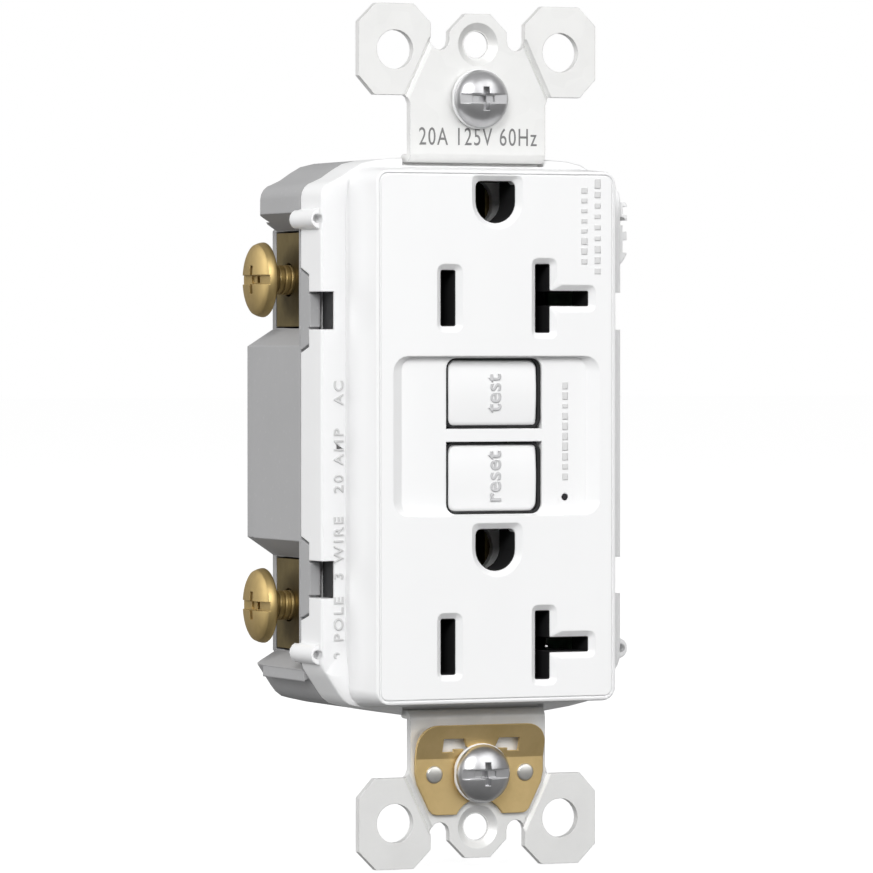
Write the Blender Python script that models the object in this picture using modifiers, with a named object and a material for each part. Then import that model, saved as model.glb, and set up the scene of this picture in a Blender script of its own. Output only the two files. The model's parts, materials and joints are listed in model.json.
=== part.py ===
"""Ground-fault outlet: a decorator-style 20 A duplex receptacle, built piece by piece.

Frame: X to the right, -Y towards the person facing the wall, +Z up.
The origin is the middle of the mounting strap, on the plane where its ends rest on the wall box.
Sizes are in millimetres and become metres when a mesh is made.
"""
import math

import bmesh
import bpy
from mathutils import Matrix, Vector

MM = 0.001
GAP = 0.3                     # clearance between neighbouring pieces
ARC_STEPS = 5                 # segments in a quarter turn of an outline
ROUND_SIDES = 28              # sides of a turned piece
SMOOTH_ANGLE = math.radians(35.0)
FLAT_ANGLE = math.radians(0.05)
WELD = 0.012                  # points closer than this are one point

# ---- standard sizes of this kind of device -------------------------------------------------
BOX_SCREW_Z = 41.67           # half of the 83.34 mm between the wall-box screws
PLATE_SCREW_Z = 48.42         # half of the 96.84 mm between the wall-plate screws
THREAD_PITCH = 0.79375        # 32 threads an inch, for the 6-32 and 8-32 screws
BLADE_X = 6.35                # blade slots are 12.7 mm apart
GROUND_RISE = 11.89           # ground hole above the line through the blade slots
OUTLET_Z = (17.03, -25.71)    # middle of the blade slots, upper and lower outlet

# ---- mounting strap ------------------------------------------------------------------------
STRAP_T = 1.04
STRAP_HALF_W = 9.13
RAIL_HALF_W = 8.7
NECK_HALF_W = 3.4
STRAP_MID_Y = -STRAP_T / 2    # middle of the sheet at the strap's ends
BRIDGE_MID_Y = 1.72           # middle of the sheet inside the case
BEND_R = 0.65
BEND_STEPS = 4
BEND_START_Z = 34.97
EAR_IN, EAR_OUT = 6.38, 15.98
EAR_LOW, EAR_TOP = 42.04, 53.3
EAR_HOLE_X, EAR_HOLE_Z = 11.17, 47.62
EAR_HOLE_R = 2.43
TAB_HALF_W, TAB_TOP = 3.87, 52.2
NOTCH_BOTTOM = 47.65
PLATE_HOLE_R = 1.65
DIMPLE_R = 2.75
GROUND_TAB_HALF_Z = 3.6
GROUND_TAB_X = 14.6           # middle of the sheet on the folded ground tab
GROUND_TAB_END_Y = 19.2

# ---- case ----------------------------------------------------------------------------------
FACE_Y = -6.96
FACE_HALF = (16.15, 32.75)
FACE_R = 1.75
BLOCK_BASE_Y = 0.4
BLOCK_HALF = (16.75, 33.25)
BLOCK_R = 2.5
FACE_WALL = 2.0
SIDE_WALL = 1.6
CASE_HALF_W = 20.35
SKIRT_REAR_Y = 7.0
SHOULDER_T = 1.6
REAR_FRONT_Y = 7.3
UPPER_REAR_Y = 21.5           # rear of the case's upper end, beyond the terminals
END_REAR_Y = 23.5
REAR_Y = 25.6
REAR_WALL = 1.7
RECESS_X = 16.9               # outer face of the brass terminal plates
RECESS_FLOOR_X = 15.6
RECESS_FRONT_Y = 7.7
STEP_Z = 26.75                # where the case's thick centre steps down to its upper end
RECESSES = ((11.16, 13.3, 25.65, 27.7), (-29.2, -27.2, -15.3, -12.99))
JOGS = ((10.3, 11.05, 20.0, 20.85), (-22.8, -22.1, -13.05, -12.35))
JOG_Y = 4.4
SIDE_WINDOWS = ((13.2, 17.85), (-19.85, -15.25))
SIDE_WINDOW_X = 18.45
BOSS_Z = (26.8, -26.75)
BOSS_R = 1.3
BOSS_FRONT_Y = 1.1
BOSS_END_Y = 8.2
BOSS_TIP_ANGLE = 64.0         # half the arc of the part that lies over the rear housing, degrees
BOSS_EYE_R = 0.55

# ---- face ----------------------------------------------------------------------------------
PANEL_HALF = (13.93, 9.82)
PANEL_FLOOR_HALF = (12.39, 9.67)
PANEL_Z = 0.1
PANEL_R = 2.0
PANEL_FLOOR_Y = -5.95
PANEL_BACK_Y = -4.35
WINDOW_HALF_W = 6.45
WINDOW_Z = ((1.0, 9.67), (-9.5, -0.6))
BUTTON_FRONT_Y = -5.5
BUTTON_HALF_W = 6.0
BUTTON_Z = ((1.32, 9.45), (-9.22, -0.9))
BUTTON_R = 1.1
FLANGE_HALF_W = 6.75
FLANGE_Y = (-4.0, -3.2)
SLOT_W = 2.0
HOT_SLOT_H = 6.9
NEUTRAL_SLOT_H = 8.5
ARM_END_X = 12.6
ARM_H = 1.9
GROUND_HOLE_R = 2.68
GROUND_FLAT_Z = 2.52          # flat top of a ground hole above its middle
SLOT_CORNER_R = 0.25
MOUTH_CORNER_R = 0.75         # most rounding at the outer corners of a slot's mouth
CHAMFER = 0.72
CHAMFER_DEPTH = 0.65
INDICATOR = (9.57, -7.5)
INDICATOR_R = 0.43

# ---- screws and terminals ------------------------------------------------------------------
TERMINAL_Z = (19.46, -21.42)
TERMINAL_Y = 19.6
TERMINAL_HEAD_X = 20.2        # underside of a terminal screw's head, backed out for wiring
TERMINAL_HEAD_R = 4.7
TERMINAL_SHANK_R = 2.07
TERMINAL_TIP_X = 11.8
CAGE_X = 8.4                  # outer face of a terminal cage's inner leg
DEVICE_HEAD_R = 3.6
DEVICE_SHANK_R = 1.72
CASE_SCREW = (15.2, 29.9)
BUTTON_SPRING_TURNS = 5
BUTTON_PIN_Z = -5.05          # the reset pin's axis
CONTACT_Y = (-2.0, 6.5)       # front and rear of the blade contacts
BOARD_Y = (12.2, 13.8)        # front and rear of the circuit board

PARTS = "gfci_outlet"


# ---- helpers -------------------------------------------------------------------------------
def clear_scene():
    for obj in list(bpy.data.objects):
        bpy.data.objects.remove(obj, do_unlink=True)


def material(name, colour, roughness, metallic=0.0):
    found = bpy.data.materials.get(name)
    if found:
        return found
    made = bpy.data.materials.new(name)
    made.use_nodes = True
    shader = made.node_tree.nodes["Principled BSDF"]
    shader.inputs["Base Color"].default_value = (*colour, 1.0)
    shader.inputs["Roughness"].default_value = roughness
    shader.inputs["Metallic"].default_value = metallic
    return made


def white_plastic():
    return material("white_plastic", (0.90, 0.90, 0.89), 0.35)


def grey_plastic():
    return material("grey_plastic", (0.40, 0.40, 0.40), 0.45)


def black_plastic():
    return material("black_plastic", (0.03, 0.03, 0.035), 0.5)


def steel():
    return material("galvanised_steel", (0.72, 0.72, 0.72), 0.35, 1.0)


def brass():
    return material("brass", (0.72, 0.55, 0.26), 0.32, 1.0)


def silver():
    return material("nickel_plate", (0.78, 0.77, 0.74), 0.3, 1.0)


def green_metal():
    return material("green_screw", (0.05, 0.32, 0.12), 0.35, 0.6)


def copper():
    return material("copper_wire", (0.62, 0.27, 0.13), 0.35, 1.0)


def board_green():
    return material("circuit_board", (0.03, 0.22, 0.10), 0.5)


def blue_coat():
    return material("blue_coating", (0.05, 0.13, 0.40), 0.45)


def clear_lens():
    return material("indicator_lens", (0.02, 0.02, 0.02), 0.15)


def mesh_of(obj):
    """Evaluate an object, bake its place into a new mesh and remove the object."""
    bpy.context.view_layer.update()
    graph = bpy.context.evaluated_depsgraph_get()
    mesh = bpy.data.meshes.new_from_object(obj.evaluated_get(graph))
    mesh.transform(obj.matrix_world)
    bpy.data.objects.remove(obj, do_unlink=True)
    return mesh


def tidy_mesh(mesh, distance=WELD):
    work = bmesh.new()
    work.from_mesh(mesh)
    bmesh.ops.remove_doubles(work, verts=work.verts, dist=0.1 * distance * MM)
    bmesh.ops.dissolve_limit(work, angle_limit=FLAT_ANGLE, verts=work.verts, edges=work.edges)
    bmesh.ops.triangulate(work, faces=work.faces[:])
    bmesh.ops.remove_doubles(work, verts=work.verts, dist=distance * MM)
    bmesh.ops.dissolve_degenerate(work, dist=0.2 * distance * MM, edges=work.edges)
    bmesh.ops.recalc_face_normals(work, faces=work.faces)
    work.to_mesh(mesh)
    work.free()
    return mesh


def linked(mesh, name="work"):
    obj = bpy.data.objects.new(name, mesh)
    bpy.context.scene.collection.objects.link(obj)
    return obj


# Each matrix lays a flat outline's own plane into the model: the outline's normal is the axis.
PLANES = {
    "X": Matrix(((0, 0, 1, 0), (1, 0, 0, 0), (0, 1, 0, 0), (0, 0, 0, 1))),
    "Y": Matrix(((1, 0, 0, 0), (0, 0, -1, 0), (0, 1, 0, 0), (0, 0, 0, 1))),
    "Z": Matrix.Identity(4),
}


def prism(outlines, low, high, axis="Y"):
    """A flat outline, with any holes as further outlines, extruded along an axis."""
    curve = bpy.data.curves.new("outline", "CURVE")
    curve.dimensions = "2D"
    curve.fill_mode = "BOTH"
    curve.extrude = (high - low) / 2 * MM
    for points in outlines:
        spline = curve.splines.new("POLY")
        spline.points.add(len(points) - 1)
        spline.use_cyclic_u = True
        for target, (u, v) in zip(spline.points, points):
            target.co = (u * MM, v * MM, 0.0, 1.0)
    obj = linked(curve)
    normal = -1.0 if axis == "Y" else 1.0
    shift = Matrix.Translation((0.0, 0.0, normal * (low + high) / 2 * MM))
    obj.matrix_world = PLANES[axis] @ shift
    return tidy_mesh(mesh_of(obj))


def sheet(outlines):
    """A flat outline in the XZ plane as an open surface, in millimetre coordinates x and z."""
    curve = bpy.data.curves.new("outline", "CURVE")
    curve.dimensions = "2D"
    curve.fill_mode = "BOTH"
    for points in outlines:
        spline = curve.splines.new("POLY")
        spline.points.add(len(points) - 1)
        spline.use_cyclic_u = True
        for target, (u, v) in zip(spline.points, points):
            target.co = (u * MM, v * MM, 0.0, 1.0)
    obj = linked(curve)
    obj.matrix_world = PLANES["Y"]
    return mesh_of(obj)


def box(low, high):
    work = bmesh.new()
    bmesh.ops.create_cube(work, size=1.0)
    size = [(b - a) * MM for a, b in zip(low, high)]
    middle = [(a + b) / 2 * MM for a, b in zip(low, high)]
    bmesh.ops.scale(work, vec=size, verts=work.verts)
    bmesh.ops.translate(work, vec=middle, verts=work.verts)
    mesh = bpy.data.meshes.new("box")
    work.to_mesh(mesh)
    work.free()
    return mesh


def rod(radius, start, end, sides=ROUND_SIDES, end_radius=None):
    """A cylinder or a cone between two points."""
    start, end = Vector(start), Vector(end)
    run = end - start
    work = bmesh.new()
    bmesh.ops.create_cone(work, cap_ends=True, segments=sides, radius1=radius * MM,
                          radius2=(radius if end_radius is None else end_radius) * MM,
                          depth=run.length * MM)
    turn = Vector((0, 0, 1)).rotation_difference(run).to_matrix().to_4x4()
    bmesh.ops.transform(work, matrix=Matrix.Translation((start + end) / 2 * MM) @ turn,
                        verts=work.verts)
    mesh = bpy.data.meshes.new("rod")
    work.to_mesh(mesh)
    work.free()
    return mesh


def turned(profile, place, direction, sides=ROUND_SIDES):
    """A turned solid. The profile runs down its outer side as (radius, height) pairs."""
    mesh = bpy.data.meshes.new("profile")
    points = [(radius * MM, 0.0, height * MM) for radius, height in profile]
    edges = [(i, i + 1) for i in range(len(points) - 1)]
    mesh.from_pydata(points, edges, [])
    obj = linked(mesh)
    screw = obj.modifiers.new("turn", "SCREW")
    screw.axis = "Z"
    screw.steps = sides
    screw.render_steps = sides
    screw.use_merge_vertices = True
    screw.merge_threshold = 0.000001
    turn = Vector((0, 0, 1)).rotation_difference(Vector(direction)).to_matrix().to_4x4()
    obj.matrix_world = Matrix.Translation(Vector(place) * MM) @ turn
    return tidy_mesh(mesh_of(obj))


def combine(base, others, operation):
    """Join or cut solids with exact Booleans, one after another."""
    for other in others:
        solid = linked(base, "solid")
        tool = linked(other, "tool")
        change = solid.modifiers.new("change", "BOOLEAN")
        change.operation = operation
        change.solver = "EXACT"
        change.object = tool
        base = tidy_mesh(mesh_of(solid))
        bpy.data.objects.remove(tool, do_unlink=True)
    return base


def union(base, *others):
    return combine(base, others, "UNION")


def cut(base, *tools):
    return combine(base, tools, "DIFFERENCE")


def bevel_where(mesh, width, segments, chosen):
    """Round the edges that a test picks out; the test sees both ends in millimetres."""
    work = bmesh.new()
    work.from_mesh(mesh)
    bmesh.ops.dissolve_limit(work, angle_limit=FLAT_ANGLE, verts=work.verts, edges=work.edges)
    edges = [edge for edge in work.edges
             if edge.calc_face_angle(0.0) > SMOOTH_ANGLE
             and chosen(edge.verts[0].co / MM, edge.verts[1].co / MM)]
    bmesh.ops.bevel(work, geom=edges, offset=width * MM, segments=segments, profile=0.5,
                    affect="EDGES", clamp_overlap=True)
    work.to_mesh(mesh)
    work.free()
    return tidy_mesh(mesh)


def near(value, target, tolerance=0.01):
    return abs(value - target) < tolerance


def arc(centre, radius, start, end, steps=ARC_STEPS):
    """Points of an arc from one angle to another, in degrees."""
    angles = [math.radians(start + (end - start) * i / steps) for i in range(steps + 1)]
    return [(centre[0] + radius * math.cos(a), centre[1] + radius * math.sin(a)) for a in angles]


def circle(centre, radius, sides=ROUND_SIDES):
    return arc(centre, radius, 0.0, 360.0 * (sides - 1) / sides, sides - 1)


def rounded_rect(low, high, radius, corners="abcd"):
    """A rectangle from its low to its high corner; a is the low corner, then anticlockwise."""
    (x0, z0), (x1, z1) = low, high
    points = []
    turns = (("a", x0, z0, 1, 1, 180), ("b", x1, z0, -1, 1, 270),
             ("c", x1, z1, -1, -1, 0), ("d", x0, z1, 1, -1, 90))
    for name, x, z, sx, sz, start in turns:
        if name in corners:
            points += arc((x + sx * radius, z + sz * radius), radius, start, start + 90)
        else:
            points.append((x, z))
    return points


def centred_rect(half, radius, centre=(0.0, 0.0)):
    low = (centre[0] - half[0], centre[1] - half[1])
    high = (centre[0] + half[0], centre[1] + half[1])
    return rounded_rect(low, high, radius)


def loft(stages):
    """A solid through outlines that have the same number of points, each at its own y."""
    work = bmesh.new()
    rings = []
    for y, outline in stages:
        rings.append([work.verts.new((x * MM, y * MM, z * MM)) for x, z in outline])
    count = len(rings[0])
    for first, last in zip(rings, rings[1:]):
        for i in range(count):
            j = (i + 1) % count
            work.faces.new((first[i], first[j], last[j], last[i]))
    bmesh.ops.triangulate(work, faces=work.faces[:])
    work.faces.new(rings[0])
    work.faces.new(rings[-1])
    bmesh.ops.recalc_face_normals(work, faces=work.faces)
    mesh = bpy.data.meshes.new("draft")
    work.to_mesh(mesh)
    work.free()
    return mesh


def mirrored(points):
    """Both halves of an outline from its half at +X, listed from bottom to top."""
    return list(points) + [(-x, z) for x, z in reversed(points)]


def finish(name, mesh, look, origin=(0.0, 0.0, 0.0)):
    """Make a named part whose origin is at a point, which is its joint's axis if it moves."""
    offset = Vector(origin) * MM
    mesh.transform(Matrix.Translation(-offset))
    mesh.name = name
    mesh.materials.clear()
    mesh.materials.append(look)
    for face in mesh.polygons:
        face.material_index = 0
    mesh.shade_smooth()
    mesh.set_sharp_from_angle(angle=SMOOTH_ANGLE)
    obj = bpy.data.objects.new(name, mesh)
    obj.location = offset
    bpy.data.collections[PARTS].objects.link(obj)
    return obj


# ---- outlines of the case ------------------------------------------------------------------
def case_half(inset=0.0):
    """Right half of the case's outline, from the bottom to the top, drawn in by an inset."""
    side = CASE_HALF_W - inset
    top = 34.45 - inset
    low = -34.45 + inset
    points = [(0.0, low)]
    points += [(9.5, low + 0.05), (13.3, low + 0.6), (15.6 - inset, -33.35 + inset)]
    points += [(16.7 - inset, -33.05 + inset * 0.8), (17.5 - inset, -32.45 + inset * 0.6)]
    points += [(18.05 - inset, -31.75 + inset * 0.5), (19.45 - inset, -29.7 + inset * 0.5)]
    points += [(20.05 - inset, -28.8 + inset * 0.4), (side, -27.9 + inset * 0.3)]
    points += arc((side - 2.0, 29.5 - inset * 0.5), 2.0, 0, 78, 4)
    points += [(17.7 - inset, 31.95 - inset * 0.4), (16.3 - inset, 32.9 - inset * 0.6)]
    points += [(14.9 - inset, top - 0.75), (13.0 - inset, top - 0.3), (9.5 - inset * 0.5, top - 0.05)]
    points += [(0.0, top)]
    return points


def case_outline(inset=0.0):
    half = case_half(inset)
    inner = half[1:-1]
    return [half[0]] + inner + [half[-1]] + [(-x, z) for x, z in reversed(inner)]


def recess_outline(levels, side, floor_x):
    """A terminal recess: a flat floor and walls that open outwards."""
    low_out, low_in, high_in, high_out = levels
    slope_low = (low_out - low_in) / (CASE_HALF_W - RECESS_X)
    slope_high = (high_out - high_in) / (CASE_HALF_W - RECESS_X)
    far = CASE_HALF_W + 2.0 - RECESS_X
    points = [(floor_x, low_in), (RECESS_X, low_in), (RECESS_X + far, low_in + far * slope_low),
              (RECESS_X + far, high_in + far * slope_high), (RECESS_X, high_in), (floor_x, high_in)]
    return [(side * x, z) for x, z in points]


def t_slot(centre, width, height, arm_end, arm_height, side=1.0):
    """A slot with an arm that points away from the middle of the device."""
    x, z = centre
    w, h, a = width / 2, height / 2, arm_height / 2
    points = [(x - w, z - h), (x + w, z - h), (x + w, z - a), (arm_end, z - a),
              (arm_end, z + a), (x + w, z + a), (x + w, z + h), (x - w, z + h)]
    return [(side * u, v) for u, v in points]


def softened(points, radius, steps=3):
    """An outline with each corner rounded to at most a radius."""
    made = []
    for i, corner in enumerate(points):
        here = Vector(corner)
        before, after = Vector(points[i - 1]), Vector(points[(i + 1) % len(points)])
        reach = min(radius, (before - here).length * 0.45, (after - here).length * 0.45)
        start = here + (before - here).normalized() * reach
        end = here + (after - here).normalized() * reach
        for k in range(steps + 1):
            t = k / steps
            point = start * (1 - t) ** 2 + here * (2 * t * (1 - t)) + end * t ** 2
            made.append((point.x, point.y))
    return made


def ground_outline(centre_z, radius, flat):
    """A ground hole: round below and flat on top."""
    points = arc((0.0, centre_z), radius, 180, 360, 12)
    corner = min(radius * 0.3, MOUTH_CORNER_R)
    right = arc((radius - corner, centre_z + flat - corner), corner, 0, 90, 3)
    return points + right + [(-x, z) for x, z in reversed(right)]


# ---- strap ---------------------------------------------------------------------------------
def bend_length():
    straight = BRIDGE_MID_Y - STRAP_MID_Y - 2 * BEND_R
    return math.pi * BEND_R + straight


def flat_z(z):
    """Where a height on the strap's folded end lies on the flat blank."""
    drop = 2 * BEND_R
    return z + bend_length() - drop


def folded(s):
    """Follow the blank from the bridge, round two bends, to an end: gives y and z."""
    start = BEND_START_Z - 2 * BEND_R
    straight = BRIDGE_MID_Y - STRAP_MID_Y - 2 * BEND_R
    quarter = math.pi / 2 * BEND_R
    run = abs(s) - start
    if run <= 0.0:
        y, z = BRIDGE_MID_Y, abs(s)
    elif run <= quarter:
        angle = run / BEND_R
        y = BRIDGE_MID_Y - BEND_R * (1 - math.cos(angle))
        z = start + BEND_R * math.sin(angle)
    elif run <= quarter + straight:
        y = BRIDGE_MID_Y - BEND_R - (run - quarter)
        z = start + BEND_R
    elif run <= 2 * quarter + straight:
        angle = (run - quarter - straight) / BEND_R
        y = STRAP_MID_Y + BEND_R * (1 - math.sin(angle))
        z = start + BEND_R + BEND_R * (1 - math.cos(angle))
    else:
        y, z = STRAP_MID_Y, BEND_START_Z + run - 2 * quarter - straight
    return y, math.copysign(z, s)


def tab_folded(x):
    """Follow the ground tab round its bend: gives x and how far it has run back."""
    start = GROUND_TAB_X - BEND_R
    quarter = math.pi / 2 * BEND_R
    run = x - start
    if run <= 0.0:
        return x, 0.0
    if run <= quarter:
        angle = run / BEND_R
        return start + BEND_R * math.sin(angle), BEND_R * (1 - math.cos(angle))
    return GROUND_TAB_X, BEND_R + run - quarter


def strap_end_half():
    """Right edge of one strap end on the flat blank, from the bridge out to the tip."""
    chamfer = 2.3
    hip = 9.75
    points = [(STRAP_HALF_W, 33.0), (STRAP_HALF_W, flat_z(EAR_LOW - 1.0))]
    points += [(STRAP_HALF_W + 0.3, flat_z(EAR_LOW - 0.25)), (hip, flat_z(EAR_LOW))]
    points += [(EAR_OUT - chamfer + 0.2, flat_z(EAR_LOW)), (EAR_OUT, flat_z(EAR_LOW + chamfer))]
    points += [(EAR_OUT, flat_z(EAR_TOP - chamfer)), (EAR_OUT - chamfer, flat_z(EAR_TOP))]
    points += [(EAR_IN + chamfer, flat_z(EAR_TOP)), (EAR_IN, flat_z(EAR_TOP - chamfer))]
    notch = (EAR_IN - TAB_HALF_W) / 2
    middle = (EAR_IN + TAB_HALF_W) / 2
    points += [(EAR_IN, flat_z(NOTCH_BOTTOM + notch))]
    points += arc((middle, flat_z(NOTCH_BOTTOM + notch)), notch, 0, -180, 6)[1:]
    points += [(TAB_HALF_W, flat_z(TAB_TOP - chamfer + 0.1)), (TAB_HALF_W - 2.2, flat_z(TAB_TOP))]
    return points


def strap_outline():
    window_top, window_low = 11.4, -19.0
    upper = strap_end_half()
    lower = [(x, -z) for x, z in reversed(upper)]
    right = list(lower)
    right += [(NECK_HALF_W + 1.6, -32.0), (NECK_HALF_W, -30.8), (NECK_HALF_W, window_low - 1.6)]
    right += [(NECK_HALF_W + 1.6, window_low), (RAIL_HALF_W, window_low)]
    tab_end = GROUND_TAB_X + GROUND_TAB_END_Y - BRIDGE_MID_Y - BEND_R * (2 - math.pi / 2)
    tab = [(RAIL_HALF_W, -GROUND_TAB_HALF_Z), (tab_end, -GROUND_TAB_HALF_Z),
           (tab_end, GROUND_TAB_HALF_Z), (RAIL_HALF_W, GROUND_TAB_HALF_Z)]
    rest = [(RAIL_HALF_W, window_top), (NECK_HALF_W + 1.6, window_top),
            (NECK_HALF_W, window_top + 1.6), (NECK_HALF_W, 22.4), (NECK_HALF_W + 1.6, 24.0),
            (STRAP_HALF_W, 24.0)]
    left = [(-x, z) for x, z in reversed(right + rest + upper)]
    return right + tab + rest + upper + left


def strap_holes():
    holes = []
    for sign in (1, -1):
        holes.append(circle((0.0, sign * flat_z(PLATE_SCREW_Z)), PLATE_HOLE_R, 24))
        for side in (1, -1):
            holes.append(circle((side * EAR_HOLE_X, sign * flat_z(EAR_HOLE_Z)), EAR_HOLE_R, 24))
        low = (-2.6, sign * flat_z(BOX_SCREW_Z) - 2.1)
        high = (2.6, sign * flat_z(BOX_SCREW_Z) + 2.1)
        holes.append(rounded_rect(low, high, 2.0))
    for outlet in OUTLET_Z:
        holes.append(circle((0.0, outlet + GROUND_RISE), 3.05, 24))
    holes.append(rounded_rect((-6.9, -9.75), (6.9, 10.05), 1.0))
    return holes


def make_strap():
    """The steel strap: a flat blank, bent twice near each end, with one tab folded back."""
    mesh = sheet([strap_outline()] + strap_holes())
    work = bmesh.new()
    work.from_mesh(mesh)
    bmesh.ops.remove_doubles(work, verts=work.verts, dist=0.000002)
    quarter = math.pi / 2 * BEND_R
    straight = BRIDGE_MID_Y - STRAP_MID_Y - 2 * BEND_R
    start = BEND_START_Z - 2 * BEND_R
    levels = [start + quarter * i / BEND_STEPS for i in range(BEND_STEPS + 1)]
    levels += [start + quarter + straight + quarter * i / BEND_STEPS for i in range(BEND_STEPS + 1)]
    for level in levels:
        for sign in (1, -1):
            bmesh.ops.bisect_plane(work, geom=work.verts[:] + work.edges[:] + work.faces[:],
                                   plane_co=(0, 0, sign * level * MM), plane_no=(0, 0, 1))
    tab_zone = GROUND_TAB_HALF_Z + 1.0
    for i in range(BEND_STEPS + 1):
        level = GROUND_TAB_X - BEND_R + quarter * i / BEND_STEPS
        faces = [f for f in work.faces if abs(f.calc_center_median().z) < tab_zone * MM]
        geometry = faces + [e for f in faces for e in f.edges] + [v for f in faces for v in f.verts]
        bmesh.ops.bisect_plane(work, geom=list(dict.fromkeys(geometry)),
                               plane_co=(level * MM, 0, 0), plane_no=(1, 0, 0))
    for vert in work.verts:
        x, s = vert.co.x / MM, vert.co.z / MM
        y, z = folded(s)
        if abs(s) < tab_zone:
            x, back = tab_folded(x)
            y += back
        vert.co = Vector((x, y, z)) * MM
    bmesh.ops.remove_doubles(work, verts=work.verts, dist=0.000002)
    bmesh.ops.recalc_face_normals(work, faces=work.faces)
    work.to_mesh(mesh)
    work.free()
    obj = linked(mesh)
    thick = obj.modifiers.new("thickness", "SOLIDIFY")
    thick.thickness = STRAP_T * MM
    thick.offset = 0.0
    body = tidy_mesh(mesh_of(obj))
    tools = [rod(2.15, (GROUND_TAB_X - 3, 15.0, 0.0), (GROUND_TAB_X + 3, 15.0, 0.0))]
    for sign in (1, -1):
        rim = (0.0, -STRAP_T - 0.05, sign * PLATE_SCREW_Z)
        tools.append(rod(DIMPLE_R, rim, (0.0, -0.3, sign * PLATE_SCREW_Z), 24, PLATE_HOLE_R + 0.15))
        for side in (1, -1):
            tools.append(score_tool(side, sign))
    body = cut(body, *tools)
    return finish("mounting_strap", body, steel())


def score_tool(side, sign):
    """A wedge that scores the line where an ear can be snapped off."""
    start = Vector((side * 6.2, -STRAP_T, sign * 49.0))
    end = Vector((side * 9.85, -STRAP_T, sign * 41.4))
    along = (end - start).normalized()
    across = Vector((along.z, 0.0, -along.x))
    work = bmesh.new()
    rings = []
    for place in (start, end):
        corners = (place - across * 0.5 + Vector((0, -0.1, 0)),
                   place + across * 0.5 + Vector((0, -0.1, 0)), place + Vector((0, 0.45, 0)))
        rings.append([work.verts.new(corner * MM) for corner in corners])
    bmesh.ops.contextual_create(work, geom=rings[0])
    bmesh.ops.contextual_create(work, geom=rings[1])
    for i in range(3):
        j = (i + 1) % 3
        work.faces.new((rings[0][i], rings[0][j], rings[1][j], rings[1][i]))
    bmesh.ops.recalc_face_normals(work, faces=work.faces)
    mesh = bpy.data.meshes.new("score")
    work.to_mesh(mesh)
    work.free()
    return mesh


def make_ground_clip():
    """The brass clip that grounds the strap through its lower box screw."""
    bend_z, lean, thickness = -39.8, math.radians(12.0), 0.5
    plane_y = -STRAP_T - 0.05 - thickness / 2
    half = 8.6
    right = [(0.0, -46.75), (1.2, -46.3), (2.4, -46.2), (3.3, -46.75), (6.3, -46.75)]
    right += [(half - 0.25, -42.2), (half, -41.6), (half, bend_z)]
    right += arc((half - 3.4, -38.9), 3.4, 0, 90, 6)
    outline = right + [(-x, z) for x, z in reversed(right[1:])]
    opening = circle((0.0, -BOX_SCREW_Z), 4.25, 24)
    holes = [opening]
    for side in (1, -1):
        low, high = sorted((side * 2.6, side * 5.3))
        holes.append([(low, -37.1), (high, -37.1), (high, -36.3), (low, -36.3)])
        holes.append(circle((side * 6.15, -41.7), 0.85, 16))
    mesh = sheet([outline] + holes)
    work = bmesh.new()
    work.from_mesh(mesh)
    bmesh.ops.remove_doubles(work, verts=work.verts, dist=0.000002)
    bmesh.ops.bisect_plane(work, geom=work.verts[:] + work.edges[:] + work.faces[:],
                           plane_co=(0, 0, bend_z * MM), plane_no=(0, 0, 1))
    for vert in work.verts:
        x, z = vert.co.x / MM, vert.co.z / MM
        rise = max(0.0, z - bend_z)
        flat = min(z, bend_z)
        vert.co = Vector((x, plane_y - rise * math.sin(lean), flat + rise * math.cos(lean))) * MM
    bmesh.ops.recalc_face_normals(work, faces=work.faces)
    work.to_mesh(mesh)
    work.free()
    obj = linked(mesh)
    thick = obj.modifiers.new("thickness", "SOLIDIFY")
    thick.thickness = thickness * MM
    thick.offset = 0.0
    thick.use_even_offset = True
    finish("self_ground_clip", tidy_mesh(mesh_of(obj)), brass())
    for name, side in (("clip_rivet_left", -1), ("clip_rivet_right", 1)):
        front = plane_y - thickness / 2 - 0.05
        dome = [(0.0, 0.55), (0.6, 0.45), (1.05, 0.2), (1.1, 0.0), (0.55, 0.0), (0.55, -0.5),
                (0.0, -0.5)]
        place = (side * 6.15, front, -41.7)
        finish(name, turned(dome, place, (0, -1, 0), 16), steel())


# ---- case parts ----------------------------------------------------------------------------
def slot_tools(outline_at, y_front, y_back):
    """A straight slot and the chamfer round its mouth; outline_at takes how far to grow it."""
    straight = prism([outline_at(0.0)], y_front - 1.0, y_back)
    mouth = loft(((y_front - 0.05, outline_at(CHAMFER * 1.08)),
                  (y_front + CHAMFER_DEPTH, outline_at(0.01))))
    return [straight, mouth]


def outlet_openings(outlet_z):
    """Blade slots and ground hole of one outlet, with their chamfers."""
    back = FACE_Y + FACE_WALL + 0.5

    def hot(grow):
        corner = SLOT_CORNER_R + min(grow, MOUTH_CORNER_R)
        return centred_rect((SLOT_W / 2 + grow, HOT_SLOT_H / 2 + grow), corner, (-BLADE_X, outlet_z))

    def neutral(grow):
        corner = SLOT_CORNER_R + min(grow, MOUTH_CORNER_R)
        return softened(t_slot((BLADE_X, outlet_z), SLOT_W + 2 * grow, NEUTRAL_SLOT_H + 2 * grow,
                               ARM_END_X + grow, ARM_H + 2 * grow), corner)

    def ground(grow):
        return ground_outline(outlet_z + GROUND_RISE, GROUND_HOLE_R + grow, GROUND_FLAT_Z + grow)

    tools = []
    for outline_at in (hot, neutral, ground):
        tools += slot_tools(outline_at, FACE_Y, back)
    return tools


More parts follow.
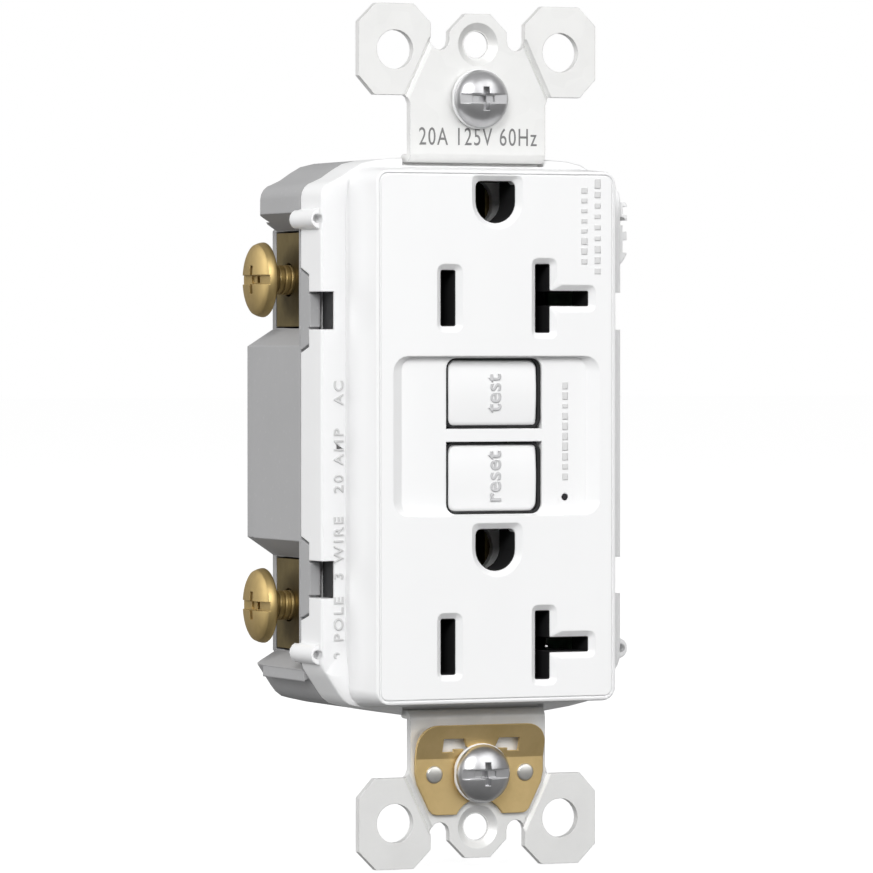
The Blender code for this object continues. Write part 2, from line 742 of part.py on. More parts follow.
def make_front_cover():
    """The white cover: the face block, the shoulders beside it and the skirt round the case."""
    edge = 0.35
    rim = (FACE_HALF[0] - edge, FACE_HALF[1] - edge)
    block = loft(((FACE_Y, centred_rect(rim, FACE_R - edge)),
                  (FACE_Y + edge * 0.3, centred_rect((rim[0] + edge * 0.7, rim[1] + edge * 0.7),
                                                     FACE_R - edge * 0.3)),
                  (FACE_Y + edge, centred_rect(FACE_HALF, FACE_R)),
                  (BLOCK_BASE_Y + 0.4, centred_rect(BLOCK_HALF, BLOCK_R))))
    skirt = loft(((BLOCK_BASE_Y, case_outline(0.5)), (BLOCK_BASE_Y + 0.15, case_outline(0.15)),
                  (BLOCK_BASE_Y + 0.5, case_outline()), (SKIRT_REAR_Y, case_outline())))
    body = union(skirt, block)
    inner = (BLOCK_HALF[0] - SIDE_WALL - 0.3, BLOCK_HALF[1] - SIDE_WALL - 0.05)
    hollow = prism([centred_rect(inner, 1.5)], FACE_Y + FACE_WALL, 4.0)
    wide = prism([case_outline(SIDE_WALL)], BLOCK_BASE_Y + SHOULDER_T, SKIRT_REAR_Y + 1.0)
    body = cut(body, wide, hollow)
    added = []
    shoulder_y = BLOCK_BASE_Y + SHOULDER_T - 0.4
    for side in (1, -1):
        for z in (CASE_SCREW[1], -CASE_SCREW[1]):
            added.append(rod(2.5, (side * CASE_SCREW[0], shoulder_y, z),
                             (side * CASE_SCREW[0], SKIRT_REAR_Y - 0.6, z), 20))
        for low, high in SIDE_WINDOWS:
            ends = sorted((side * 17.3, side * 19.4))
            added.append(box((ends[0], shoulder_y, low - 0.5), (ends[1], 6.0, high + 0.5)))
        for z in BOSS_Z:
            added.append(boss(side, z))
    added.append(terminal_guard())
    # The panel between the outlets is set back, so the wall behind it is set back as well.
    added.append(box((-14.6, FACE_Y + FACE_WALL - 0.3, -10.6), (14.6, PANEL_BACK_Y, 10.8)))
    body = union(body, *added)
    tools = [loft(((FACE_Y - 0.02, centred_rect(PANEL_HALF, PANEL_R, (0.0, PANEL_Z))),
                   (PANEL_FLOOR_Y, centred_rect(PANEL_FLOOR_HALF, PANEL_R - 0.4, (0.0, PANEL_Z)))))]
    for (low, high), corners in zip(WINDOW_Z, ("cd", "ab")):
        outline = rounded_rect((-WINDOW_HALF_W, low), (WINDOW_HALF_W, high), BUTTON_R + 0.2, corners)
        tools.append(prism([outline], PANEL_FLOOR_Y - 1.5, PANEL_BACK_Y + 0.5))
    tools.append(box((14.0, BLOCK_BASE_Y + 0.4, -4.1), (15.5, 5.0, 4.1)))
    tools.append(rod(INDICATOR_R + 0.02, (INDICATOR[0], PANEL_FLOOR_Y - 1.0, INDICATOR[1]),
                     (INDICATOR[0], PANEL_BACK_Y + 0.5, INDICATOR[1]), 16))
    for outlet in OUTLET_Z:
        tools += outlet_openings(outlet)
    for sign in (1, -1):
        low, high = sorted((sign * 33.42, sign * 36.0))
        tools.append(box((-9.55, -2.0, low), (9.55, 2.7, high)))
        low, high = sorted((sign * 31.0, sign * 34.0))
        tools.append(box((-9.5, BLOCK_BASE_Y + 0.45, low), (9.5, 2.65, high)))
    for side in (1, -1):
        ends = sorted((side * SIDE_WINDOW_X, side * 22.5))
        for (low_out, low_in, high_in, high_out), (low, high) in zip(JOGS, SIDE_WINDOWS):
            outline = [(8.0, low_out), (SKIRT_REAR_Y, low_out), (JOG_Y, low_in), (JOG_Y, low),
                       (-0.6, low), (-0.6, high), (JOG_Y, high), (JOG_Y, high_in),
                       (SKIRT_REAR_Y, high_out), (8.0, high_out)]
            tools.append(prism([outline], ends[0], ends[1], "X"))
        for z in BOSS_Z:
            tools.append(rod(BOSS_EYE_R, (side * (CASE_HALF_W + 0.25), BOSS_FRONT_Y - 0.5, z),
                             (side * (CASE_HALF_W + 0.25), BOSS_FRONT_Y + 1.3, z), 16))
        for z in (CASE_SCREW[1], -CASE_SCREW[1]):
            tools.append(rod(1.55, (side * CASE_SCREW[0], 2.6, z),
                             (side * CASE_SCREW[0], SKIRT_REAR_Y + 1.0, z), 16))
    body = cut(body, *tools)
    return finish("front_cover", body, white_plastic())


def boss(side, z):
    """A half-round snap boss on the skirt that reaches back over the rear housing."""
    outline = arc((CASE_HALF_W - 0.2, z), BOSS_R, -90, 90, 8)
    outline += [(CASE_HALF_W - 0.8, z + BOSS_R), (CASE_HALF_W - 0.8, z - BOSS_R)]
    tip = arc((CASE_HALF_W - 0.2, z), BOSS_R - 0.02, -BOSS_TIP_ANGLE, BOSS_TIP_ANGLE, 6)
    root = prism([[(side * u, v) for u, v in outline]], BOSS_FRONT_Y, SKIRT_REAR_Y - 0.1)
    return union(root, prism([[(side * u, v) for u, v in tip]], SKIRT_REAR_Y - 1.0, BOSS_END_Y))


def terminal_guard():
    """The raised guard on the upper right shoulder, with a straight inner face."""
    outline = [(CASE_HALF_W - 0.7, 21.0), (CASE_HALF_W + 0.3, 21.6), (CASE_HALF_W + 0.95, 22.6),
               (CASE_HALF_W + 0.95, 28.9), (CASE_HALF_W + 0.65, 29.2), (CASE_HALF_W - 0.7, 29.2)]
    return prism([outline], BLOCK_BASE_Y + 0.62, 4.0)


def lower_case_outline(inset):
    """The case's outline as far as the step between its centre and its upper end."""
    half = [(x, z) for x, z in case_half(inset) if z < STEP_Z - 4.0]
    half += [(half[-1][0], STEP_Z - 2.0 - inset), (half[-1][0] - 1.1, STEP_Z - inset)]
    half.append((0.0, STEP_Z - inset))
    inner = half[1:-1]
    return [half[0]] + inner + [half[-1]] + [(-x, z) for x, z in reversed(inner)]


def rounded_rear(outline_at, start_y, end_y, round_y=0.9):
    """A housing block with a rounded rear edge."""
    return loft(((start_y, outline_at(0.02)), (end_y - round_y, outline_at(0.02)),
                 (end_y - round_y * 0.28, outline_at(round_y * 0.33)), (end_y, outline_at(round_y))))


def back_block():
    """The thickest part of the housing, between the four terminal recesses."""
    upper, lower = RECESSES
    side, floor, away = CASE_HALF_W - 0.05, RECESS_X - 0.04, 0.05
    half = [(0.0, lower[0] + 0.9), (floor - 1.0, lower[0] + 0.9), (floor, lower[0] + 1.9),
            (floor, lower[2] + away), (side, lower[3] + away), (side, upper[0] - away),
            (floor, upper[1] - away), (floor, STEP_Z - 1.1), (floor - 1.0, STEP_Z - 0.05),
            (0.0, STEP_Z - 0.05)]
    outline = half + [(-x, z) for x, z in reversed(half[1:-1])]
    block = prism([outline], END_REAR_Y - 2.4, REAR_Y)
    return bevel_where(block, 0.6, 2, lambda a, b: near(a.y, REAR_Y) and near(b.y, REAR_Y))


def make_rear_housing():
    """The grey rear case: terminal recesses on both sides and wire holes in the back."""
    body = union(rounded_rear(case_outline, REAR_FRONT_Y, UPPER_REAR_Y),
                 rounded_rear(lower_case_outline, REAR_FRONT_Y + 1.0, END_REAR_Y))
    inset = SIDE_WALL + 0.1
    cavity = prism([case_outline(inset)], REAR_FRONT_Y - 1.0, UPPER_REAR_Y - REAR_WALL)
    body = cut(body, cavity)
    walls = []
    recesses = []
    for side in (1, -1):
        for levels in RECESSES:
            low_out, low_in, high_in, high_out = levels
            for upper in (True, False):
                walls.append(prism([recess_rib(side, levels, upper)], REAR_FRONT_Y + 0.05,
                                   UPPER_REAR_Y - 0.6))
            for inner_x, outer_x, wall_y in ((14.6, 18.45, 6.7), (18.1, 18.85, 7.38)):
                ends = sorted((side * inner_x, side * outer_x))
                walls.append(box((ends[0], wall_y, low_in - 0.8),
                                 (ends[1], RECESS_FRONT_Y + 0.3, high_in + 0.8)))
            recesses.append(prism([recess_outline(levels, side, RECESS_X)], RECESS_FRONT_Y,
                                  REAR_Y + 1.0))
            ends = sorted((side * (RECESS_FLOOR_X - 1.5), side * (RECESS_X + 1.0)))
            recesses.append(box((ends[0], RECESS_FRONT_Y + 0.06, low_in + 0.06),
                                (ends[1], 23.8, high_in - 0.06)))
    body = cut(union(body, *walls), *recesses)
    body = union(body, back_block())
    low = (-RECESS_FLOOR_X + 1.2, REAR_FRONT_Y + 3.0, -26.6)
    high = (RECESS_FLOOR_X - 1.2, REAR_Y - REAR_WALL, 25.0)
    tools = [box(low, high)]
    for side in (1, -1):
        ends = sorted((side * (RECESS_FLOOR_X - 1.4), side * (RECESS_X + 1.0)))
        for low_out, low_in, high_in, high_out in RECESSES:
            tools.append(box((ends[0], 15.0, low_in + 0.12), (ends[1], 23.77, high_in - 0.12)))
        for z in TERMINAL_Z:
            for offset in (-3.0, 3.0):
                tools.append(rod(1.45, (side * 10.0, REAR_Y - 4.0, z + offset),
                                 (side * 10.0, REAR_Y + 1.0, z + offset), 16))
        for sign, rear_y in ((1, UPPER_REAR_Y), (-1, END_REAR_Y)):
            x, z = side * CASE_SCREW[0], sign * CASE_SCREW[1]
            tools.append(rod(1.6, (x, rear_y - 6.0, z), (x, rear_y + 1.0, z), 16))
            tools.append(rod(2.75, (x, rear_y - 0.9, z), (x, rear_y + 1.0, z), 20))
    ground = [(-7.8, CASE_HALF_W + 0.6), (-5.6, RECESS_X), (5.6, RECESS_X),
              (7.8, CASE_HALF_W + 0.6)]
    tools.append(prism([[(x, z) for z, x in ground]], 9.4, 20.6))
    tools.append(box((13.0, 9.5, -4.2), (RECESS_X + 1.0, 20.5, 4.2)))
    body = union(cut(body, *tools), *rear_tabs())
    return finish("rear_housing", body, grey_plastic())


def recess_rib(side, levels, upper):
    """A wall that lines one sloping side of a terminal recess."""
    low_out, low_in, high_in, high_out = levels
    inner, outer = (high_in, high_out) if upper else (low_in, low_out)
    away = 1.2 if upper else -1.2
    points = [(RECESS_FLOOR_X - 1.3, inner - away * 0.2), (RECESS_X, inner - away * 0.2),
              (CASE_HALF_W - 0.5, outer - away * 0.2), (CASE_HALF_W - 0.5, outer + away),
              (RECESS_X, inner + away), (RECESS_FLOOR_X - 1.3, inner + away)]
    return [(side * x, z) for x, z in points]


def rear_tabs():
    """Side tabs that fill the skirt's cut-outs, each with a snap finger in a window."""
    tabs = []
    root = REAR_FRONT_Y + 0.25
    front = JOG_Y + GAP
    for side in (1, -1):
        ends = sorted((side * (CASE_HALF_W - 1.4), side * (CASE_HALF_W - 0.06)))
        for (low_out, low_in, high_in, high_out), (low, high) in zip(JOGS, SIDE_WINDOWS):
            outline = [(root, low_out + 0.4), (SKIRT_REAR_Y, low_out + 0.4), (front, low_in + 0.35),
                       (front, low + GAP), (2.0, low + GAP), (2.0, high - GAP),
                       (front, high - GAP), (front, high_in - 0.35),
                       (SKIRT_REAR_Y, high_out - 0.4), (root, high_out - 0.4)]
            tabs.append(prism([outline], ends[0], ends[1], "X"))
    return tabs


def make_middle_housing():
    """The dark separator that holds the contacts and the button springs."""
    front, rear = 9.4, 11.0
    body = prism([centred_rect((14.0, 27.6), 1.2)], front, rear)
    table = box((-5.6, 4.6, -9.0), (5.6, front + 0.3, 9.2))
    ribs = [box((x - 0.5, 6.9, low), (x + 0.5, front + 0.3, high))
            for x in (-4.2, 4.2) for low, high in ((12.2, 24.0), (-27.4, -17.6))]
    body = union(body, table, *ribs)
    tools = [box((13.3, front - 1.0, -4.3), (16.0, rear + 1.0, 4.3))]
    for outlet in OUTLET_Z:
        tools.append(prism([centred_rect((1.2, 4.0), 0.3, (-BLADE_X, outlet))], front - 1, rear + 1))
        tools.append(prism([t_slot((BLADE_X, outlet), 2.4, 8.8, ARM_END_X + 0.3, 2.3)],
                           front - 1, rear + 1))
    ground_z = OUTLET_Z[1] + GROUND_RISE
    tools.append(rod(3.0, (0, front - 1, ground_z), (0, rear + 1, ground_z), 20))
    tools.append(rod(1.35, (0, 3.0, BUTTON_PIN_Z), (0, rear + 1, BUTTON_PIN_Z), 16))
    tools.append(rod(1.5, (INDICATOR[0], front - 1, INDICATOR[1]),
                     (INDICATOR[0], rear + 1, INDICATOR[1]), 16))
    tools.append(rod(1.9, (-2.9, 3.0, 6.8), (-2.9, rear + 1, 6.8), 16))
    return finish("middle_housing", cut(body, *tools), black_plastic())


# ---- contacts ------------------------------------------------------------------------------


def make_contact_strips():
    """The hot and neutral strips that join both outlets, with a spring clip at each blade."""
    strip_x, strip_t = 7.35, 0.55
    parts = []
    for outlet in OUTLET_Z:
        x0, x1 = -7.9, -4.8
        low, high = outlet - 4.3, outlet + 4.9
        outline = [(x0, low), (x0 + 0.55, low), (x0 + 0.55, high - 0.55), (x1 - 0.55, high - 0.55),
                   (x1 - 0.55, low), (x1, low), (x1, high), (x0, high)]
        parts.append(prism([outline], *CONTACT_Y))
    ends = (OUTLET_Z[1] - 4.0, OUTLET_Z[0] + 4.5)
    bar = box((-strip_x - strip_t, 4.2, ends[0]), (-strip_x - 0.02, CONTACT_Y[1] - 0.03, ends[1]))
    finish("hot_contact_strip", union(bar, *parts), brass())
    parts = []
    for outlet in OUTLET_Z:
        outer = t_slot((BLADE_X, outlet), 3.1, 10.0, ARM_END_X + 0.9, 3.3)
        hollow = t_slot((BLADE_X, outlet), 2.0, 8.9, ARM_END_X + 0.35, 2.2)
        clip = prism([outer, hollow], *CONTACT_Y)
        slit = box((BLADE_X - 0.9, CONTACT_Y[0] - 1, outlet - 6), (BLADE_X + 0.9, CONTACT_Y[1] + 1,
                                                                   outlet - 4))
        parts.append(cut(clip, slit))
    bar = box((strip_x + 0.02, 4.2, OUTLET_Z[1] + 4.6), (strip_x + strip_t - 0.03,
                                                         CONTACT_Y[1] - 0.03, OUTLET_Z[0] - 4.6))
    finish("neutral_contact_strip", union(bar, *parts), silver())


def make_ground_contacts():
    for name, outlet in zip(("ground_contact_upper", "ground_contact_lower"), OUTLET_Z):
        z = outlet + GROUND_RISE
        front = BRIDGE_MID_Y + STRAP_T / 2 + GAP
        outline = [(-3.1, z - 2.4), (-2.55, z - 2.4), (-2.55, z + 2.7), (2.55, z + 2.7),
                   (2.55, z - 2.4), (3.1, z - 2.4), (3.1, z + 3.3), (-3.1, z + 3.3)]
        clip = prism([outline], front, 8.6)
        foot = box((-2.2, front, z + 2.9), (2.2, front + 0.6, z + 3.75))
        finish(name, union(clip, foot), brass())


def make_terminals():
    """A U-shaped brass or plated cage at each corner of the case, open to the rear wire holes."""
    for side, metal, pole in ((-1, brass(), "hot"), (1, silver(), "neutral")):
        for z, levels, end in zip(TERMINAL_Z, RECESSES, ("upper", "lower")):
            inner = RECESS_X - 1.0
            low, high = levels[1] + GAP, levels[2] - GAP
            outer = sorted((side * inner, side * RECESS_X))
            plate = box((outer[0], RECESS_FRONT_Y + GAP, low), (outer[1], 23.5, high))
            ends = sorted((side * (CAGE_X - 1.0), side * (inner + 0.3)))
            web = box((ends[0], 14.5, z - 3.9), (ends[1], 15.5, z + 3.9))
            ends = sorted((side * (CAGE_X - 1.0), side * CAGE_X))
            leg = box((ends[0], 14.51, z - 3.89), (ends[1], 23.3, z + 3.89))
            cage = union(plate, web, leg)
            hole = rod(TERMINAL_SHANK_R + 0.05, (side * (inner - 1.5), TERMINAL_Y, z),
                       (side * (RECESS_X + 1.5), TERMINAL_Y, z))
            finish(f"{pole}_terminal_{end}", cut(cage, hole), metal)


# ---- screws --------------------------------------------------------------------------------
def slotted(head, place, out, slot_w, slot_len, depth, cross=0.0):
    """Cut a screwdriver slot, and a shorter one across it, in a head that faces along out."""
    place, out = Vector(place), Vector(out)
    along = Vector((0, 1, 0)) if abs(out.x) > 0.5 else Vector((1, 0, 0))
    across = Vector((0, 0, 1))
    tools = []
    for run, wide, length in ((along, across, slot_len), (across, along, cross)):
        if length <= 0.0:
            continue
        reach = run * length / 2 + wide * slot_w / 2
        a = place - out * depth - reach
        b = place + out * 2.0 + reach
        low = [min(p, q) for p, q in zip(a, b)]
        high = [max(p, q) for p, q in zip(a, b)]
        tools.append(box(low, high))
    return cut(head, *tools)


def make_terminal_screws():
    """Terminal screws, backed out for wiring, and the clamp plate that each one carries."""
    height = 1.85
    profile = [(0.0, height), (1.7, height - 0.12), (3.2, height - 0.5), (4.15, 0.9),
               (TERMINAL_HEAD_R, 0.0), (TERMINAL_SHANK_R, 0.0),
               (TERMINAL_SHANK_R, TERMINAL_TIP_X - TERMINAL_HEAD_X + 0.5),
               (TERMINAL_SHANK_R - 0.5, TERMINAL_TIP_X - TERMINAL_HEAD_X),
               (0.0, TERMINAL_TIP_X - TERMINAL_HEAD_X)]
    for side, metal, pole in ((-1, brass(), "hot"), (1, silver(), "neutral")):
        for z, end in zip(TERMINAL_Z, ("upper", "lower")):
            place = (side * TERMINAL_HEAD_X, TERMINAL_Y, z)
            body = turned(profile, place, (side, 0, 0))
            top = (side * (TERMINAL_HEAD_X + height), TERMINAL_Y, z)
            body = slotted(body, top, (side, 0, 0), 1.25, 8.0, 1.1, 5.2)
            finish(f"{pole}_screw_{end}", body, metal, place)
            ends = sorted((side * 11.7, side * 12.9))
            clamp = box((ends[0], 16.1, z - 3.7), (ends[1], 23.1, z + 3.7))
            hole = rod(TERMINAL_SHANK_R + 0.05, (side * 10.0, TERMINAL_Y, z),
                       (side * 15.0, TERMINAL_Y, z))
            finish(f"{pole}_clamp_{end}", cut(clamp, hole), metal, place)


def make_ground_screw():
    """The green hex-head screw on the right side, with its cupped washer."""
    head_x, tip_x, y = 17.75, 13.0, 15.0
    profile = [(0.0, 1.9), (3.2, 1.9), (3.5, 1.6), (3.5, 0.5), (3.95, 0.4), (3.95, 0.0),
               (TERMINAL_SHANK_R, 0.0), (TERMINAL_SHANK_R, tip_x - head_x + 0.4),
               (TERMINAL_SHANK_R - 0.4, tip_x - head_x), (0.0, tip_x - head_x)]
    place = (head_x, y, 0.0)
    body = turned(profile, place, (1, 0, 0))
    body = slotted(body, (head_x + 1.9, y, 0.0), (1, 0, 0), 1.2, 9.0, 0.9)
    finish("ground_screw", body, green_metal(), place)
    washer = turned([(2.35, 0.5), (3.7, 0.7), (3.7, 0.25), (2.35, 0.0), (2.35, 0.5)],
                    (16.95, y, 0.0), (1, 0, 0))
    finish("ground_clamp_washer", washer, green_metal(), place)


def make_device_screws():
    """The two long screws that hold the device to its box, with their captive washers."""
    washer_t = 0.5
    for name, sign in (("upper", 1), ("lower", -1)):
        seat_y = -STRAP_T - GAP if sign > 0 else -STRAP_T - 0.55 - GAP
        washer_front = seat_y - washer_t
        head_y = washer_front - 0.1
        tip = -19.0
        profile = [(0.0, 1.95), (1.6, 1.85), (2.8, 1.45), (3.4, 0.85), (DEVICE_HEAD_R, 0.3),
                   (DEVICE_HEAD_R, 0.0), (DEVICE_SHANK_R, 0.0), (DEVICE_SHANK_R, tip + 1.0),
                   (0.6, tip), (0.0, tip)]
        place = (0.0, head_y, sign * BOX_SCREW_Z)
        body = turned(profile, place, (0, -1, 0))
        top = (0.0, head_y - 1.95, sign * BOX_SCREW_Z)
        body = slotted(body, top, (0, -1, 0), 1.2, 8.0, 1.0, 3.6)
        finish(f"device_screw_{name}", body, steel(), place)
        ring = turned([(1.8, washer_t), (3.85, washer_t), (3.85, 0.0), (1.8, 0.0),
                       (1.8, washer_t)], (0.0, seat_y, sign * BOX_SCREW_Z), (0, -1, 0))
        finish(f"retaining_washer_{name}", ring, white_plastic(), place)


def make_case_screws():
    """Four long screws from the rear corners into the cover's posts."""
    for sign, end, rear_y in ((1, "upper", UPPER_REAR_Y), (-1, "lower", END_REAR_Y)):
        head_y = rear_y - 0.85
        tip = 3.2 - head_y
        profile = [(0.0, 0.75), (1.9, 0.75), (2.4, 0.4), (2.4, 0.0), (1.1, 0.0),
                   (1.1, tip + 0.6), (0.5, tip), (0.0, tip)]
        for side, word in ((-1, "left"), (1, "right")):
            place = (side * CASE_SCREW[0], head_y + 0.05, sign * CASE_SCREW[1])
            body = turned(profile, place, (0, 1, 0), 20)
            top = (side * CASE_SCREW[0], head_y + 0.8, sign * CASE_SCREW[1])
            body = slotted(body, top, (0, 1, 0), 0.7, 3.2, 0.5, 3.2)
            finish(f"case_screw_{end}_{word}", body, steel())


# ---- buttons and trip mechanism ------------------------------------------------------------
def button_body(z_range, corners, stem):
    """A button: a rounded cap, a flange that keeps it in the panel and a stem."""
    low, high = z_range
    outline = rounded_rect((-BUTTON_HALF_W, low), (BUTTON_HALF_W, high), BUTTON_R, corners)
    cap = prism([outline], BUTTON_FRONT_Y, FLANGE_Y[1] - 0.2)
    cap = bevel_where(cap, 0.3, 2, lambda a, b: near(a.y, BUTTON_FRONT_Y)
                      and near(b.y, BUTTON_FRONT_Y))
    grow_low, grow_high = (0.0, 0.35) if corners == "cd" else (0.35, 0.0)
    flange = box((-FLANGE_HALF_W, FLANGE_Y[0], low - grow_low), (FLANGE_HALF_W, FLANGE_Y[1],
                                                                 high + grow_high))
    stem_x, stem_z, stem_r, stem_end = stem
    post = rod(stem_r, (stem_x, FLANGE_Y[1] - 0.3, stem_z), (stem_x, stem_end, stem_z), 16)
    return union(cap, flange, post)


def coil_spring(name, centre, radius, wire_r, y_front, y_back, turns, look):
    """A coil spring as a wire wound along Y."""
    steps = turns * 12
    curve = bpy.data.curves.new(name, "CURVE")
    curve.dimensions = "3D"
    curve.bevel_depth = wire_r * MM
    curve.bevel_resolution = 2
    curve.use_fill_caps = True
    spline = curve.splines.new("POLY")
    spline.points.add(steps)
    for i, point in enumerate(spline.points):
        angle = 2 * math.pi * turns * i / steps
        y = y_front + wire_r + (y_back - y_front - 2 * wire_r) * i / steps
        x = centre[0] + radius * math.cos(angle)
        z = centre[1] + radius * math.sin(angle)
        point.co = (x * MM, y * MM, z * MM, 1.0)
    return finish(name, tidy_mesh(mesh_of(linked(curve))), look)


def make_buttons():
    test = button_body(BUTTON_Z[0], "cd", (-2.9, 6.8, 1.4, 10.1))
    finish("test_button", test, white_plastic())
    reset = button_body(BUTTON_Z[1], "ab", (0.0, BUTTON_PIN_Z, 1.5, 0.8))
    socket = rod(1.0, (0.0, -1.6, BUTTON_PIN_Z), (0.0, 2.0, BUTTON_PIN_Z), 16)
    finish("reset_button", cut(reset, socket), white_plastic())
    pin = turned([(0.0, 22.2), (0.95, 22.2), (0.95, 2.4), (0.6, 2.2), (0.6, 1.4), (0.95, 1.1),
                  (0.95, 0.6), (0.4, 0.0), (0.0, 0.0)], (0.0, 21.0, BUTTON_PIN_Z), (0, -1, 0), 16)
    finish("reset_pin", pin, steel())
    coil_spring("test_button_spring", (2.6, 5.4), 1.5, 0.2, FLANGE_Y[1] + 0.1, 4.5,
                BUTTON_SPRING_TURNS, steel())
    coil_spring("reset_button_spring", (0.0, BUTTON_PIN_Z), 2.1, 0.22, FLANGE_Y[1] + 0.1, 4.5,
                BUTTON_SPRING_TURNS, steel())
    pipe = rod(INDICATOR_R - 0.03, (INDICATOR[0], PANEL_FLOOR_Y + 0.05, INDICATOR[1]),
               (INDICATOR[0], 9.6, INDICATOR[1]), 16)
    finish("indicator_light_pipe", pipe, clear_lens())


def make_board():
    """The circuit board, narrow beside the terminals, with holes for what passes through."""
    wide, narrow = 15.0, 13.7
    half = [(narrow, -28.0), (narrow, -13.5), (wide, -12.6), (wide, 10.9), (narrow, 11.8),
            (narrow, 25.2)]
    body = prism([mirrored(half)], *BOARD_Y)
    ground_z = OUTLET_Z[1] + GROUND_RISE
    front, rear = BOARD_Y[0] - 1, BOARD_Y[1] + 1
    tools = [box((10.8, front, -4.3), (16.0, rear, 4.3)),
             rod(2.9, (0, front, ground_z), (0, rear, ground_z), 20),
             rod(1.35, (0, front, BUTTON_PIN_Z), (0, rear, BUTTON_PIN_Z), 16),
             rod(2.4, (0, front, TERMINAL_Z[0]), (0, rear, TERMINAL_Z[0]), 16)]
    finish("circuit_board", cut(body, *tools), board_green())
    back = BOARD_Y[1] + GAP
    case = turned([(2.5, 5.6), (6.2, 5.6), (6.7, 5.1), (6.7, 0.0), (2.5, 0.0), (2.5, 5.6)],
                  (0.0, back, TERMINAL_Z[0]), (0, 1, 0))
    finish("sensing_coil_case", case, black_plastic())
    finish("control_chip", box((-3.2, back, 5.6), (3.2, back + 1.7, 9.8)), black_plastic())
    disc = bevel_where(rod(4.2, (-13.9, 18.9, 4.6), (-10.1, 18.9, 4.6), 24), 0.7, 2,
                       lambda a, b: near(a.x, b.x))
    finish("surge_absorber", disc, blue_coat())
    can = bevel_where(rod(1.85, (-12.4, back, -6.6), (-12.4, 21.6, -6.6), 24), 0.3, 2,
                      lambda a, b: near(a.y, b.y))
    finish("storage_capacitor", can, black_plastic())
    bead = turned([(0.0, 6.4), (0.35, 6.4), (0.35, 5.3), (1.15, 4.9), (1.0, 3.2), (1.15, 1.5),
                   (0.35, 1.1), (0.35, 0.0), (0.0, 0.0)], (5.0, back + 1.3, 10.4), (1, 0, 0), 16)
    finish("test_resistor", bead, blue_coat())
    lamp = turned([(0.0, 1.0), (0.55, 0.9), (0.8, 0.55), (0.8, 0.0), (0.0, 0.0)],
                  (INDICATOR[0], BOARD_Y[0] - 0.1, INDICATOR[1]), (0, -1, 0), 16)
    finish("indicator_lamp", lamp, clear_lens())
    leaf_foot = box((-8.6, 11.3, 5.6), (-7.0, BOARD_Y[0] - 0.1, 8.0))
    leaf = box((-8.0, 11.3, 6.0), (-1.6, 11.6, 7.6))
    finish("test_contact_leaf", union(leaf_foot, leaf), brass())


def make_trip_mechanism():
    """The solenoid, its plunger, and the lifter and latch that open the contacts."""
    axis_y = 18.9
    bobbin = turned([(1.9, 11.4), (4.7, 11.4), (4.7, 10.5), (2.5, 10.5), (2.5, 0.9), (4.7, 0.9),
                     (4.7, 0.0), (1.9, 0.0), (1.9, 11.4)], (0.0, axis_y, -24.4), (0, 0, 1))
    finish("solenoid_bobbin", bobbin, black_plastic())
    coil = turned([(2.8, 9.0), (4.3, 9.0), (4.3, 0.0), (2.8, 0.0), (2.8, 9.0)],
                  (0.0, axis_y, -23.2), (0, 0, 1))
    finish("solenoid_coil", coil, copper())
    plunger = turned([(0.0, 12.0), (0.9, 11.8), (0.9, 9.6), (1.6, 9.4), (1.6, 0.3), (1.3, 0.0),
                      (0.0, 0.0)], (0.0, axis_y, -24.1), (0, 0, 1), 20)
    finish("solenoid_plunger", plunger, steel())
    lifter = box((-6.6, 15.4, -8.6), (6.6, 18.3, -1.4))
    arms = [box((x0, 15.4, -6.2), (x1, 16.9, -3.8)) for x0, x1 in ((-10.6, -6.3), (6.3, 10.6))]
    lifter = union(lifter, *arms)
    lifter = cut(lifter, rod(1.3, (0, 14.0, BUTTON_PIN_Z), (0, 20.0, BUTTON_PIN_Z), 16))
    finish("contact_lifter", lifter, black_plastic())
    outline = [(-2.6, -11.8), (2.6, -11.8), (2.6, -8.2), (3.6, -7.2), (3.6, -1.8), (-3.6, -1.8),
               (-3.6, -7.2), (-2.6, -8.2)]
    key = rounded_rect((-1.3, BUTTON_PIN_Z - 2.4), (1.3, BUTTON_PIN_Z + 1.3), 1.2)
    finish("latch_plate", prism([outline, key], 18.6, 19.3), steel())
    for word, x0, x1, metal in (("hot", -10.4, -7.0, brass()), ("neutral", 7.0, 10.4, silver())):
        bridge = box((x0, 14.7, -9.4), (x1, 15.1, -1.0))
        pads = [rod(0.9, ((x0 + x1) / 2, 14.2, z), ((x0 + x1) / 2, 14.8, z), 14)
                for z in (-8.4, -2.0)]
        finish(f"{word}_moving_contact", union(bridge, *pads), metal)


def build():
    clear_scene()
    parts = bpy.data.collections.new(PARTS)
    bpy.context.scene.collection.children.link(parts)
    make_strap()
    make_ground_clip()
    make_front_cover()
    make_rear_housing()
    make_middle_housing()
    make_contact_strips()
    make_ground_contacts()
    make_terminals()
    make_terminal_screws()
    make_ground_screw()
    make_device_screws()
    make_case_screws()
    make_buttons()
    make_board()
    make_trip_mechanism()


build()
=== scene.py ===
# %% [markdown]
# A ground-fault outlet, ready for the wall
#
# This lesson dresses an engineering model of a duplex outlet. The model comes from CAD as plain
# triangles; here it gets its moulded plastic, plated steel, brass and small marks. Each step says
# what the real piece is, how it could be made in Blender, and why this way was taken.
#
# The frame: X to the right, -Y towards the person who faces the wall, +Z up, in metres. MM turns
# the millimetres of a maker's drawing into metres.

# %% Load the frame
import json
import math
import bmesh
import bpy
from mathutils import Matrix, Vector

